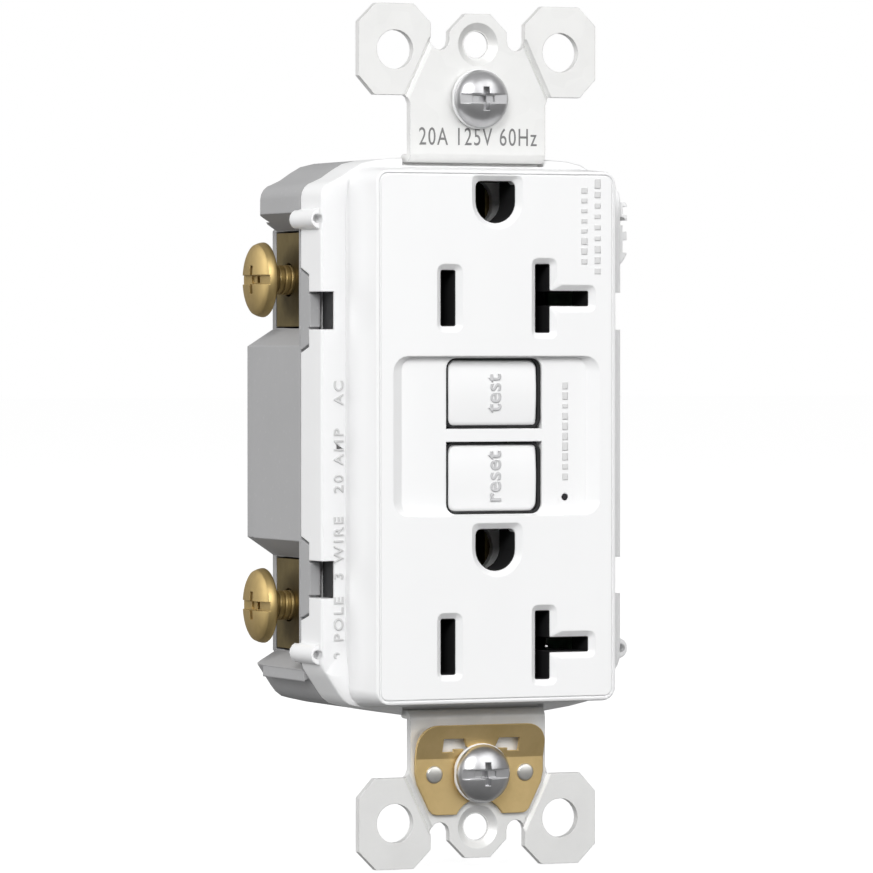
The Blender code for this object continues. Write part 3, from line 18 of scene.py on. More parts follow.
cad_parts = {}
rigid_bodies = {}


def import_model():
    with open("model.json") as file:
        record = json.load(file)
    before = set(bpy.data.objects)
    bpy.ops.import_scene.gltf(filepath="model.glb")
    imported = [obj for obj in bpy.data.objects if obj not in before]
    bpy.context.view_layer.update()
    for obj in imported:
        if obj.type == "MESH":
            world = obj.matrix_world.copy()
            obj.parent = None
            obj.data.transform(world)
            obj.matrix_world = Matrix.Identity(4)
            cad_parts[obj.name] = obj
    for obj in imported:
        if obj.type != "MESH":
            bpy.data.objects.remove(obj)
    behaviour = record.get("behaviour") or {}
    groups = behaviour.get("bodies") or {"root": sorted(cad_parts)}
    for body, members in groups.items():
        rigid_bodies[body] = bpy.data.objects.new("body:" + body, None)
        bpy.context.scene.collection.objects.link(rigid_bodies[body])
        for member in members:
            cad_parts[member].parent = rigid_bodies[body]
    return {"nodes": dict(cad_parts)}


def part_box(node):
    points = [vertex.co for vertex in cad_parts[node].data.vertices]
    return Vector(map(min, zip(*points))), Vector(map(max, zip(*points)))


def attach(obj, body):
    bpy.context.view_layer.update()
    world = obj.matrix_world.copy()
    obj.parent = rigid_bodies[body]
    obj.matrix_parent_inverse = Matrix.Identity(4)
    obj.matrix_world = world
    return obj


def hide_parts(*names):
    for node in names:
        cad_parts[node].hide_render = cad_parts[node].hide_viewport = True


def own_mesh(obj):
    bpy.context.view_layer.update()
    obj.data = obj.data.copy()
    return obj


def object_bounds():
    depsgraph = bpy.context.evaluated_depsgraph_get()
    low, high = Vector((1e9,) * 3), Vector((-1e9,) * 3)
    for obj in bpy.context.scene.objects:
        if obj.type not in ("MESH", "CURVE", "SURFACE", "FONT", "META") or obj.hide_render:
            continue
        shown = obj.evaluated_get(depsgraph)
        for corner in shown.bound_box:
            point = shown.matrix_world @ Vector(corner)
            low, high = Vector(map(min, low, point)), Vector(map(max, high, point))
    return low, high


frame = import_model()
cad_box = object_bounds()
MM = 0.001
scene = bpy.context.scene
FRONT, RIGHT, UP = (0, -1, 0), (1, 0, 0), (0, 0, 1)
BACK, LEFT = (0, 1, 0), (-1, 0, 0)


def in_mm(box):
    return [round(value / MM, 1) for corner in box for value in corner]


print("CAD nodes:", len(frame["nodes"]), "box (mm):", in_mm(cad_box))

# %% [markdown]
# The camera stands to the left of the outlet and 74 cm away. Its long lens keeps the edges of a
# small object nearly parallel. Track-to maths aims it, so no constraint is left on the camera.

# %% Camera
def aim(obj, target):
    """Turn an object so that its -Z axis points at a target and its Y axis stays up."""
    direction = Vector(target) - obj.location
    obj.rotation_euler = direction.to_track_quat("-Z", "Y").to_euler()


CAMERA_PLACE = (-300.915 * MM, -678.525 * MM, 11.467 * MM)
CAMERA_TARGET = (-5.138 * MM, 0.0, -0.019 * MM)
lens = bpy.data.cameras.new("camera")
lens.sensor_width = 36.0
lens.lens = 247.065
lens.clip_start = 0.01
camera = bpy.data.objects.new("camera", lens)
scene.collection.objects.link(camera)
camera.location = CAMERA_PLACE
aim(camera, CAMERA_TARGET)
scene.camera = camera
print("camera distance (m):", round((camera.location - Vector(CAMERA_TARGET)).length, 3))

# %% [markdown]
# Small glossy parts show their lamps as bright shapes, so the lamps are big and soft: a key above
# and to the left, a weaker fill on the right and a rim light from behind. Metal has no colour of
# its own but its reflections, so the surroundings run from light grey above to a darker grey
# below, and only the camera sees them as white.

# %% Lights
def lamp(name, place, size, power):
    light = bpy.data.lights.new(name, "AREA")
    light.shape = "RECTANGLE"
    light.size, light.size_y = size
    light.energy = power
    obj = bpy.data.objects.new(name, light)
    scene.collection.objects.link(obj)
    obj.location = place
    aim(obj, (0.0, 0.0, 0.0))
    return obj


lamps = [
    lamp("key", (-0.80, -1.20, 0.75), (0.6, 0.6), 17.8),
    lamp("fill", (0.50, -1.00, 0.55), (1.1, 0.9), 5.6),
    lamp("rim", (-0.85, 0.40, 0.25), (0.7, 0.7), 3.8),
]
world = bpy.data.worlds.new("studio")
scene.world = world
world.use_nodes = True
tree = world.node_tree
tree.nodes.clear()
place = tree.nodes.new("ShaderNodeTexCoord")
split = tree.nodes.new("ShaderNodeSeparateXYZ")
ramp = tree.nodes.new("ShaderNodeMapRange")
for socket, value in (("From Min", -1.0), ("From Max", 1.0), ("To Min", 0.20), ("To Max", 0.62)):
    ramp.inputs[socket].default_value = value
around = tree.nodes.new("ShaderNodeBackground")
behind = tree.nodes.new("ShaderNodeBackground")
behind.inputs["Color"].default_value = (1.0, 1.0, 1.0, 1.0)
path = tree.nodes.new("ShaderNodeLightPath")
mix = tree.nodes.new("ShaderNodeMixShader")
out = tree.nodes.new("ShaderNodeOutputWorld")
tree.links.new(place.outputs["Generated"], split.inputs["Vector"])
tree.links.new(split.outputs["Z"], ramp.inputs["Value"])
tree.links.new(ramp.outputs["Result"], around.inputs["Strength"])
tree.links.new(path.outputs["Is Camera Ray"], mix.inputs["Fac"])
tree.links.new(around.outputs["Background"], mix.inputs[1])
tree.links.new(behind.outputs["Background"], mix.inputs[2])
tree.links.new(mix.outputs["Shader"], out.inputs["Surface"])
scene.view_settings.view_transform = "Standard"
print("lamps:", [obj.name for obj in lamps])

# %% [markdown]
# Every finish here is a Principled shader with three things driven by noise in Object coordinates:
# a slight change of colour, a change of roughness, and a fine relief. Real edges are never sharp,
# and a Bevel node rounds them in the shading alone, which suits a mesh that has to stay as it is.
# Where the rounded normal leaves the flat one there is an edge, and that difference becomes a mask
# for rubbed metal, or for a painted highlight: the paler line where light catches a moulded edge.

# %% Finish helper
class Finish:
    """A small writer of node trees, one for each finish."""

    def __init__(self, name, colour, roughness, metallic=0.0, edge=0.25, ior=1.5, coat=0.0):
        self.material = bpy.data.materials.new(name)
        self.material.use_nodes = True
        self.tree = self.material.node_tree
        self.shader = self.tree.nodes["Principled BSDF"]
        self.shader.inputs["Metallic"].default_value = metallic
        self.shader.inputs["IOR"].default_value = ior
        self.shader.inputs["Coat Weight"].default_value = coat
        self.shader.inputs["Coat Roughness"].default_value = 0.12
        self.place = self.node("ShaderNodeTexCoord").outputs["Object"]
        self.colour = self.node("ShaderNodeRGB").outputs[0]
        self.colour.default_value = (*colour, 1.0)
        self.roughness = self.node("ShaderNodeValue").outputs[0]
        self.roughness.default_value = roughness
        self.height = None
        self.round = self.node("ShaderNodeBevel", Radius=edge * MM)
        self.round.samples = 4

    def node(self, kind, **inputs):
        made = self.tree.nodes.new(kind)
        for name, value in inputs.items():
            self.feed(made.inputs[name.replace("_", " ")], value)
        return made

    def feed(self, socket, value):
        if isinstance(value, bpy.types.NodeSocket):
            self.tree.links.new(value, socket)
        else:
            socket.default_value = value

    def math(self, operation, first, second=0.0, clamp=False):
        made = self.node("ShaderNodeMath")
        made.operation = operation
        made.use_clamp = clamp
        self.feed(made.inputs[0], first)
        self.feed(made.inputs[1], second)
        return made.outputs[0]

    def noise(self, scale, detail=3.0, stretch=(1.0, 1.0, 1.0), rough=0.55):
        mapping = self.node("ShaderNodeMapping", Vector=self.place)
        mapping.inputs["Scale"].default_value = stretch
        made = self.node("ShaderNodeTexNoise", Vector=mapping.outputs[0], Scale=scale, Detail=detail,
                         Roughness=rough)
        return made.outputs["Fac"]

    def cells(self, scale, output="Distance"):
        return self.node("ShaderNodeTexVoronoi", Vector=self.place, Scale=scale).outputs[output]

    def span(self, value, low, high, to_low=0.0, to_high=1.0):
        made = self.node("ShaderNodeMapRange", Value=value)
        sockets = ("From Min", "From Max", "To Min", "To Max")
        for name, number in zip(sockets, (low, high, to_low, to_high)):
            made.inputs[name].default_value = number
        return made.outputs["Result"]

    def tint(self, mask, colour):
        """Bring a second colour in where the mask is high."""
        made = self.node("ShaderNodeMix")
        made.data_type = "RGBA"
        self.feed(made.inputs[0], mask)
        self.feed(made.inputs[6], self.colour)
        self.feed(made.inputs[7], (*colour, 1.0))
        self.colour = made.outputs[2]

    def vary(self, mask, amount):
        """Raise or lower the roughness by up to the amount, as a mask says."""
        change = self.math("MULTIPLY", mask, amount)
        self.roughness = self.math("ADD", self.roughness, change, clamp=True)

    def relief(self, mask, depth):
        """Add a height in millimetres."""
        scaled = self.math("MULTIPLY", mask, depth * MM)
        self.height = scaled if self.height is None else self.math("ADD", self.height, scaled)

    def edges(self, gain=3.0):
        """A mask that is 1 on edges, from the angle between the rounded normal and the flat one."""
        plain = self.node("ShaderNodeNewGeometry").outputs["Normal"]
        dot = self.node("ShaderNodeVectorMath")
        dot.operation = "DOT_PRODUCT"
        self.feed(dot.inputs[0], self.round.outputs[0])
        self.feed(dot.inputs[1], plain)
        apart = self.math("SUBTRACT", 1.0, dot.outputs["Value"])
        return self.math("MULTIPLY", apart, gain, clamp=True)

    def done(self):
        normal = self.round.outputs[0]
        if self.height is not None:
            relief = self.node("ShaderNodeBump", Height=self.height, Strength=1.0, Distance=1.0)
            self.feed(relief.inputs["Normal"], normal)
            normal = relief.outputs[0]
        self.feed(self.shader.inputs["Normal"], normal)
        self.feed(self.shader.inputs["Base Color"], self.colour)
        self.feed(self.shader.inputs["Roughness"], self.roughness)
        return self.material


print("finish helper ready")

# %% [markdown]
# The cover and the buttons are white thermoplastic with a satin polish. Close up it has a soft
# orange-peel surface from the tool, and faint flow lines where the melt ran along the part. The
# noise for the flow lines is stretched along Z, the way the melt ran.

# %% White plastic
def white_moulding(name, colour, roughness):
    made = Finish(name, colour, roughness, edge=0.22)
    flow = made.noise(60.0, 2.0, (1.0, 1.0, 0.25))
    fine = made.noise(2600.0, 2.0)
    made.tint(made.span(flow, 0.35, 0.7, 0.0, 0.35), tuple(0.93 * c for c in colour))
    # Painted highlight: the edge mask makes moulded edges paler, as if light caught them.
    made.tint(made.edges(1.2), tuple(min(1.0, 1.04 * c) for c in colour))
    made.vary(made.span(made.noise(300.0), 0.3, 0.7, -0.5, 0.5), 0.10)
    made.relief(fine, 0.003)
    made.relief(flow, 0.05)
    return made.done()


finishes = {"white_plastic": white_moulding("satin_white_plastic", (0.90, 0.902, 0.905), 0.33)}
print("white plastic")

# %% [markdown]
# The rear case is grey nylon filled with short glass fibres. The fibres come to the surface as tiny
# pale flecks, and the tool gives it a matt spark-eroded texture. Cells of two sizes make the flecks
# and the texture.

# %% Grey and black plastic
def filled_nylon(name, colour, pale, roughness):
    made = Finish(name, colour, roughness, edge=0.25)
    flecks = made.span(made.cells(900.0), 0.05, 0.22, 1.0, 0.0)
    cloud = made.noise(90.0, 4.0)
    made.tint(made.math("MULTIPLY", flecks, 0.22), pale)
    made.tint(made.span(cloud, 0.3, 0.7, 0.0, 0.3), tuple(0.86 * c for c in colour))
    # Painted highlight: the edge mask makes moulded edges paler, as if light caught them.
    made.tint(made.edges(1.6), pale)
    made.vary(cloud, 0.14)
    made.relief(made.noise(1500.0, 4.0), 0.012)
    made.relief(made.cells(700.0), 0.01)
    return made.done()


for slot, *look in (
        ("grey_plastic", "grey_filled_nylon", (0.40, 0.40, 0.405), (0.58, 0.58, 0.585), 0.46),
        ("black_plastic", "black_inner_plastic", (0.008, 0.008, 0.009), (0.02, 0.02, 0.021), 0.62)):
    finishes[slot] = filled_nylon(*look)
print("grey and black plastic")

# %% [markdown]
# The strap is cut from zinc-coated steel. Zinc freezes in crystals, called spangle, and each crystal
# mirrors a little differently. Voronoi cells are that pattern, and fine stretched noise adds the
# lines that the rolling mill leaves. Cut edges are bare steel, so the edge mask darkens them.

# %% Galvanised steel
def zinc_coat(name, colour):
    made = Finish(name, colour, 0.38, metallic=0.45, edge=0.12)
    spangle = made.cells(420.0, output="Color")
    grey = made.node("ShaderNodeRGBToBW", Color=spangle).outputs[0]
    rolled = made.noise(900.0, 2.0, (1.0, 1.0, 0.06))
    made.tint(made.span(grey, 0.2, 0.8, 0.0, 0.25), tuple(0.93 * c for c in colour))
    made.tint(made.span(made.noise(120.0, 4.0), 0.5, 0.75, 0.0, 0.4), tuple(0.9 * c for c in colour))
    made.tint(made.math("MULTIPLY", made.edges(3.0), 0.7), (0.36, 0.36, 0.36))
    made.vary(grey, 0.12)
    made.vary(rolled, 0.08)
    made.relief(rolled, 0.006)
    made.relief(made.noise(1300.0), 0.004)
    return made.done()


finishes["galvanised_steel"] = zinc_coat("galvanised_steel_sheet", (0.83, 0.83, 0.82))
print("galvanised steel")

# %% [markdown]
# The clip, the contacts and two of the screws are brass. Brass darkens where it is left alone and
# stays bright where it is rubbed, so the tarnish is a cloudy noise and the edge mask takes it away.

# %% Brass, copper and plated screws
def rubbed_metal(name, colour, dull, roughness, edge=0.15, grain=(1.0, 1.0, 0.08)):
    made = Finish(name, colour, roughness, metallic=1.0, edge=edge)
    cloud = made.noise(150.0, 5.0, rough=0.6)
    drawn = made.noise(1100.0, 2.0, grain)
    made.tint(made.span(cloud, 0.42, 0.72, 0.0, 0.75), dull)
    made.tint(made.edges(2.5), tuple(min(1.0, 1.12 * c) for c in colour))
    made.vary(cloud, 0.16)
    made.vary(drawn, 0.08)
    made.relief(drawn, 0.006)
    made.relief(made.noise(2200.0), 0.002)
    return made.done()


finishes["brass"] = rubbed_metal("rubbed_brass", (0.55, 0.41, 0.18), (0.36, 0.26, 0.11), 0.38)
clip_brass = rubbed_metal("rolled_brass", (0.70, 0.53, 0.26), (0.54, 0.40, 0.18), 0.42)
# A much darker brass for the terminals, contacts and clamps: partly tarnish, partly painted shade.
tarnish_and_shade_brass = rubbed_metal("tarnish_and_painted_shade_brass", (0.20, 0.155, 0.07), (0.10, 0.08, 0.04), 0.42)
for slot, *look in (
        ("copper_wire", "enamelled_copper", (0.62, 0.27, 0.13), (0.42, 0.16, 0.07), 0.30),
        ("nickel_plate", "nickel_plated_steel", (0.74, 0.73, 0.70), (0.52, 0.51, 0.48), 0.22),
        ("green_screw", "green_dyed_steel", (0.06, 0.34, 0.13), (0.03, 0.20, 0.08), 0.30)):
    finishes[slot] = rubbed_metal(*look)
print("metals:", len(finishes))

# %% [markdown]
# Inside, where only a taken-apart view shows them, sit a green circuit board, blue coated parts and
# a clear lens. Their finishes are simple, but they still vary: solder mask has a weave under it, and
# the dipped blue coat is glossy and uneven.

# %% Board, coating and lens
def coated(name, colour, dark, roughness, scale, depth, coat):
    made = Finish(name, colour, roughness, edge=0.12, coat=coat)
    cloud = made.noise(scale, 4.0)
    made.tint(made.span(cloud, 0.35, 0.7, 0.0, 0.6), dark)
    made.vary(cloud, 0.12)
    made.relief(made.noise(scale * 6.0), depth)
    return made.done()


for slot, name, colour, dark, *rest in (
        ("circuit_board", "green_solder_mask", (0.03, 0.22, 0.10), (0.015, 0.13, 0.05),
         0.38, 500.0, 0.006, 0.4),
        ("blue_coating", "blue_dipped_coat", (0.04, 0.12, 0.42), (0.02, 0.07, 0.27),
         0.32, 220.0, 0.02, 0.3),
        ("indicator_lens", "smoked_lens", (0.012, 0.012, 0.014), (0.02, 0.02, 0.024),
         0.12, 300.0, 0.003, 0.6)):
    finishes[slot] = coated(name, colour, dark, *rest)
print("finishes:", sorted(finishes))

# %% [markdown]
# A CAD node arrives as loose triangles, so it looks faceted. Its mesh has to stay, but a modifier
# may dress it. This small Geometry Nodes tree merges the triangles' corners, drops the flat normals
# that came with the file, and shades every edge smooth but the ones sharper than an angle. A
# Weighted Normal modifier after it keeps the broad flat faces flat beside their rounded edges.

# %% Smooth shading by angle
def socket_named(tree, name):
    return next(item.identifier for item in tree.interface.items_tree if item.name == name)


smooth = bpy.data.node_groups.new("smooth_by_angle", "GeometryNodeTree")
smooth.interface.new_socket("Geometry", in_out="INPUT", socket_type="NodeSocketGeometry")
limit = smooth.interface.new_socket("Angle", in_out="INPUT", socket_type="NodeSocketFloat")
limit.default_value = math.radians(32.0)
smooth.interface.new_socket("Geometry", in_out="OUTPUT", socket_type="NodeSocketGeometry")
source = smooth.nodes.new("NodeGroupInput")
merge = smooth.nodes.new("GeometryNodeMergeByDistance")
merge.inputs["Distance"].default_value = 0.00001
drop = smooth.nodes.new("GeometryNodeRemoveAttribute")
drop.inputs["Name"].default_value = "custom_normal"
sharp = smooth.nodes.new("GeometryNodeInputMeshEdgeAngle")
wide = smooth.nodes.new("FunctionNodeCompare")
wide.operation = "GREATER_THAN"
faces = smooth.nodes.new("GeometryNodeSetShadeSmooth")
edges = smooth.nodes.new("GeometryNodeSetShadeSmooth")
edges.domain = "EDGE"
edges.inputs["Shade Smooth"].default_value = False
result = smooth.nodes.new("NodeGroupOutput")
for start, end in ((source.outputs["Geometry"], merge.inputs["Geometry"]),
                   (merge.outputs["Geometry"], drop.inputs["Geometry"]),
                   (drop.outputs["Geometry"], faces.inputs["Geometry"]),
                   (faces.outputs["Geometry"], edges.inputs["Geometry"]),
                   (sharp.outputs["Unsigned Angle"], wide.inputs["A"]),
                   (source.outputs["Angle"], wide.inputs["B"]),
                   (wide.outputs["Result"], edges.inputs["Selection"]),
                   (edges.outputs["Geometry"], result.inputs["Geometry"])):
    smooth.links.new(start, end)
print("smooth_by_angle:", len(smooth.nodes), "nodes")

# %% [markdown]
# Each CAD node carries the name of its material slot, so the finishes can be handed out by name.
# Brass in the terminals, contacts and clamps gets a much darker brass: partly tarnish, partly painted shade
# for brass that sits in shadow.

# %% Dress the CAD nodes
def cad_slot(obj):
    return obj.material_slots[0].material.name.split(".")[0]


for name, obj in frame["nodes"].items():
    slot = cad_slot(obj)
    inner_brass = slot == "brass" and any(word in name for word in ("terminal", "contact", "clamp"))
    for holder in obj.material_slots:
        holder.material = tarnish_and_shade_brass if inner_brass else finishes[slot]
    dress = obj.modifiers.new("smooth", "NODES")
    dress.node_group = smooth
    level = obj.modifiers.new("level", "WEIGHTED_NORMAL")
    level.keep_sharp = True
print("dressed:", len(frame["nodes"]))

# %% [markdown]
# The replacement pieces need a few tools: a lathe for turned heads, a flat outline pushed into a
# thin solid, a rounding of sharp edges, an exact cut, and a matrix that lays a shape on any side
# of the outlet. `lay` takes the direction that faces out and the direction that the shape's own X
# axis follows, so lettering can run up a side as easily as across it.

# %% Shaping tools
def to_mesh(work):
    """A closed shape as a mesh, with its normals turned out."""
    bmesh.ops.recalc_face_normals(work, faces=work.faces)
    mesh = bpy.data.meshes.new("shape")
    work.to_mesh(mesh)
    work.free()
    return mesh


def lay(place, out, along):
    """A matrix: place in millimetres, local Z facing out, local X running along."""
    out, along = Vector(out), Vector(along)
    across = out.cross(along)
    turn = Matrix((along, across, out)).transposed().to_4x4()
    return Matrix.Translation(Vector(place) * MM) @ turn


def turned(profile, steps=56):
    """Spin (radius, height) pairs round Z. The profile starts and ends on the axis."""
    work = bmesh.new()
    rings = []
    for radius, height in profile:
        if radius == 0.0:
            rings.append([work.verts.new((0.0, 0.0, height * MM))])
            continue
        angles = [2 * math.pi * k / steps for k in range(steps)]
        r = radius * MM
        rings.append([work.verts.new((r * math.cos(a), r * math.sin(a), height * MM)) for a in angles])
    for upper, lower in zip(rings, rings[1:]):
        for k in range(steps):
            corners = (upper[k % len(upper)], upper[(k + 1) % len(upper)],
                       lower[(k + 1) % len(lower)], lower[k % len(lower)])
            unique = list(dict.fromkeys(corners))
            if len(unique) > 2:
                work.faces.new(unique)
    return to_mesh(work)


def block(low, high):
    """A plain cutter or stem between two corners, in millimetres."""
    work = bmesh.new()
    bmesh.ops.create_cube(work, size=1.0)
    bmesh.ops.scale(work, vec=[(b - a) * MM for a, b in zip(low, high)], verts=work.verts)
    bmesh.ops.translate(work, vec=[(a + b) / 2 * MM for a, b in zip(low, high)], verts=work.verts)
    return to_mesh(work)


def linked(mesh, name="work"):
    obj = bpy.data.objects.new(name, mesh)
    scene.collection.objects.link(obj)
    return obj


def evaluated(obj):
    """The object's mesh with its modifiers applied; the object itself is removed."""
    bpy.context.view_layer.update()
    mesh = bpy.data.meshes.new_from_object(obj.evaluated_get(bpy.context.evaluated_depsgraph_get()))
    mesh.transform(obj.matrix_world)
    bpy.data.objects.remove(obj, do_unlink=True)
    return mesh


def flat(outlines, low, high):
    """Outlines in the XY plane, the first the outer one, pushed into a solid from low to high."""
    curve = bpy.data.curves.new("outline", "CURVE")
    curve.dimensions = "2D"
    curve.fill_mode = "BOTH"
    curve.extrude = (high - low) / 2 * MM
    for points in outlines:
        spline = curve.splines.new("POLY")
        spline.points.add(len(points) - 1)
        spline.use_cyclic_u = True
        for target, (u, v) in zip(spline.points, points):
            target.co = (u * MM, v * MM, 0.0, 1.0)
    obj = linked(curve)
    obj.location.z = (low + high) / 2 * MM
    return merged(evaluated(obj))


def merged(mesh, distance=0.004, dissolve=True):
    """Join corners closer than a distance, and the faces that lie in one plane."""
    work = bmesh.new()
    work.from_mesh(mesh)
    bmesh.ops.remove_doubles(work, verts=work.verts, dist=distance * MM)
    if dissolve:
        bmesh.ops.dissolve_limit(work, angle_limit=math.radians(0.1), verts=work.verts,
                                 edges=work.edges)
    work.to_mesh(mesh)
    work.free()
    return mesh


def rounded(mesh, width, steps=3, chosen=None, angle=30.0):
    """Round the edges sharper than an angle, or those that a test on both ends picks out."""
    work = bmesh.new()
    work.from_mesh(mesh)
    edges = [edge for edge in work.edges if len(edge.link_faces) == 2
             and edge.calc_face_angle(0.0) > math.radians(angle)
             and (chosen is None or chosen(edge.verts[0].co / MM, edge.verts[1].co / MM))]
    bmesh.ops.bevel(work, geom=edges, offset=width * MM, segments=steps, profile=0.5, affect="EDGES",
                    clamp_overlap=True)
    return to_mesh(work)


def carve(mesh, tools):
    """Cut closed tools out of a closed mesh, all at once."""
    base = linked(mesh)
    cutters = bpy.data.collections.new("cutters")
    scene.collection.children.link(cutters)
    for tool in tools:
        cutters.objects.link(bpy.data.objects.new("tool", tool))
    change = base.modifiers.new("cut", "BOOLEAN")
    change.operation = "DIFFERENCE"
    change.solver = "EXACT"
    change.operand_type = "COLLECTION"
    change.collection = cutters
    result = evaluated(base)
    for obj in list(cutters.objects):
        bpy.data.objects.remove(obj, do_unlink=True)
    bpy.data.collections.remove(cutters)
    return result


def joined(*meshes):
    work = bmesh.new()
    for mesh in meshes:
        work.from_mesh(mesh)
    made = bpy.data.meshes.new("joined")
    work.to_mesh(made)
    work.free()
    return made


def moved(mesh, matrix):
    mesh = mesh.copy()
    mesh.transform(matrix)
    return mesh


def piece(name, mesh, finish, body, stands_for=(), angle=32.0):
    """Finish a piece: one material, smooth shading by angle, its body and the nodes it replaces."""
    mesh.materials.clear()
    mesh.materials.append(finish)
    for face in mesh.polygons:
        face.material_index = 0
    mesh.shade_smooth()
    mesh.set_sharp_from_angle(angle=math.radians(angle))
    obj = linked(mesh, name)
    level = obj.modifiers.new("level", "WEIGHTED_NORMAL")
    level.keep_sharp = True
    final = obj.evaluated_get(bpy.context.evaluated_depsgraph_get())
    obj.data = bpy.data.meshes.new_from_object(final)
    obj.modifiers.clear()
    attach(obj, body)
    if stands_for:
        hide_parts(*stands_for)
    print(name, "triangles:", sum(len(face.vertices) - 2 for face in mesh.polygons))
    return obj


def merged_copy(node):
    """A CAD node's triangles as one clean closed mesh."""
    mesh = frame["nodes"][node].data.copy()
    if "custom_normal" in mesh.attributes:
        mesh.attributes.remove(mesh.attributes["custom_normal"])
    return merged(mesh, 0.01)


# %% [markdown]
# A machine thread is a ridge that climbs round a core at a steady pitch. Geometry Nodes makes both:
# a spiral curve carries a three-sided profile, and a cylinder is the core. The pitch here is
# 0.79375 mm, 32 threads to the inch, which both the terminal and the mounting screws use. The same
# tree serves every screw through its named inputs.

# %% Thread by Geometry Nodes
PITCH = 0.79375


def tree_with(name, inputs):
    """A Geometry Nodes tree with named inputs, a material among them."""
    made = bpy.data.node_groups.new(name, "GeometryNodeTree")
    for label, value in inputs.items():
        kind = "NodeSocketInt" if isinstance(value, int) else "NodeSocketFloat"
        made.interface.new_socket(label, in_out="INPUT", socket_type=kind).default_value = value
    made.interface.new_socket("Finish", in_out="INPUT", socket_type="NodeSocketMaterial")
    made.interface.new_socket("Geometry", in_out="OUTPUT", socket_type="NodeSocketGeometry")
    return made


def wire(tree, *pairs):
    for start, end in pairs:
        tree.links.new(start, end)


def close_tree(tree, geometry, source):
    """End a tree in Realize Instances and Set Material."""
    realize = tree.nodes.new("GeometryNodeRealizeInstances")
    paint = tree.nodes.new("GeometryNodeSetMaterial")
    end = tree.nodes.new("NodeGroupOutput")
    wire(tree, (geometry, realize.inputs[0]), (realize.outputs[0], paint.inputs["Geometry"]),
         (source.outputs["Finish"], paint.inputs["Material"]), (paint.outputs[0], end.inputs[0]))


def grow(tree, finish, **values):
    """Run a tree with these inputs and return the plain mesh that it makes."""
    obj = linked(bpy.data.meshes.new("seed"))
    maker = obj.modifiers.new("maker", "NODES")
    maker.node_group = tree
    for label, value in values.items():
        maker[socket_named(tree, label.replace("_", " "))] = value
    maker[socket_named(tree, "Finish")] = finish
    return evaluated(obj)


thread = tree_with("machine_thread",
                   {"Core Radius": 0.0018, "Ridge": 0.0003, "Pitch": PITCH * MM, "Length": 0.01})
source = thread.nodes.new("NodeGroupInput")
turns = thread.nodes.new("ShaderNodeMath")
turns.operation = "DIVIDE"
spiral = thread.nodes.new("GeometryNodeCurveSpiral")
spiral.inputs["Resolution"].default_value = 28
upright = thread.nodes.new("GeometryNodeSetCurveNormal")
upright.mode = "Z_UP"
profile = thread.nodes.new("GeometryNodeCurvePrimitiveCircle")
profile.inputs["Resolution"].default_value = 3
ridge = thread.nodes.new("GeometryNodeCurveToMesh")
ridge.inputs["Fill Caps"].default_value = True
core = thread.nodes.new("GeometryNodeMeshCylinder")
core.inputs["Vertices"].default_value = 32
half = thread.nodes.new("ShaderNodeMath")
half.operation = "MULTIPLY"
half.inputs[1].default_value = 0.5
lift = thread.nodes.new("ShaderNodeCombineXYZ")
move = thread.nodes.new("GeometryNodeTransform")
both = thread.nodes.new("GeometryNodeJoinGeometry")
given = source.outputs
wire(thread, (given["Length"], turns.inputs[0]), (given["Pitch"], turns.inputs[1]),
     (turns.outputs[0], spiral.inputs["Rotations"]), (given["Core Radius"], spiral.inputs["Start Radius"]),
     (given["Core Radius"], spiral.inputs["End Radius"]), (given["Length"], spiral.inputs["Height"]),
     (spiral.outputs[0], upright.inputs[0]), (upright.outputs[0], ridge.inputs["Curve"]),
     (given["Ridge"], profile.inputs["Radius"]), (profile.outputs[0], ridge.inputs["Profile Curve"]),
     (given["Core Radius"], core.inputs["Radius"]), (given["Length"], core.inputs["Depth"]),
     (given["Length"], half.inputs[0]), (half.outputs[0], lift.inputs["Z"]),
     (core.outputs["Mesh"], move.inputs["Geometry"]), (lift.outputs[0], move.inputs["Translation"]),
     (ridge.outputs[0], both.inputs[0]), (move.outputs[0], both.inputs[0]))
close_tree(thread, both.outputs[0], source)
sample = grow(thread, finishes["brass"], Core_Radius=0.0017, Ridge=0.00036, Pitch=PITCH * MM,
              Length=0.008)
heights = [vert.co.z / MM for vert in sample.vertices]
print("thread sample faces:", len(sample.polygons), "length (mm):", round(max(heights) - min(heights), 2))

# %% [markdown]
# A terminal screw has a wide shallow dome, a sloping rim and a combination recess: a straight slot
# for a flat blade, crossed by a short Phillips recess with a deeper square in its middle. The dome
# comes off the lathe with its rim rounded in the profile, and the recess is cut with exact Booleans.

# %% Screws
def combination_head(profile, slot_width, slot_floor, arm, arm_width, arm_floor, pilot):
    """A turned head with a slot across X and a cross recess; heights are above its underside."""
    radius = max(r for r, h in profile)
    top = max(h for r, h in profile) + 1.0
    tools = [block((-radius - 1, -slot_width / 2, slot_floor), (radius + 1, slot_width / 2, top)),
             block((-arm_width / 2, -arm, arm_floor), (arm_width / 2, arm, top + 0.1)),
             block((-arm, -arm_width / 2, arm_floor - 0.02), (arm, arm_width / 2, top + 0.2)),
             block((-pilot, -pilot, arm_floor - 0.7), (pilot, pilot, top + 0.3))]
    head = turned(profile, 72)
    for tool in tools:
        head = carve(head, [tool])
    return merged(head, 0.003, dissolve=False)


def screw_mesh(head, core, ridge_depth, length, metal):
    """Head above the origin, thread below it down to the length, where a short cone ends it."""
    cone = 0.5
    threaded = length - cone - 0.1
    shank = grow(thread, metal, Core_Radius=core * MM, Ridge=ridge_depth * MM, Pitch=PITCH * MM,
                 Length=threaded * MM)
    shank.transform(Matrix.Translation((0.0, 0.0, -threaded * MM)))
    tip = turned([(0.0, -length + cone), (core, -length + cone), (core * 0.75, -length),
                  (0.0, -length)], 32)
    return joined(head, shank, tip)


def middle_of(node):
    return [(a + b) / 2 / MM for a, b in zip(*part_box(node))]


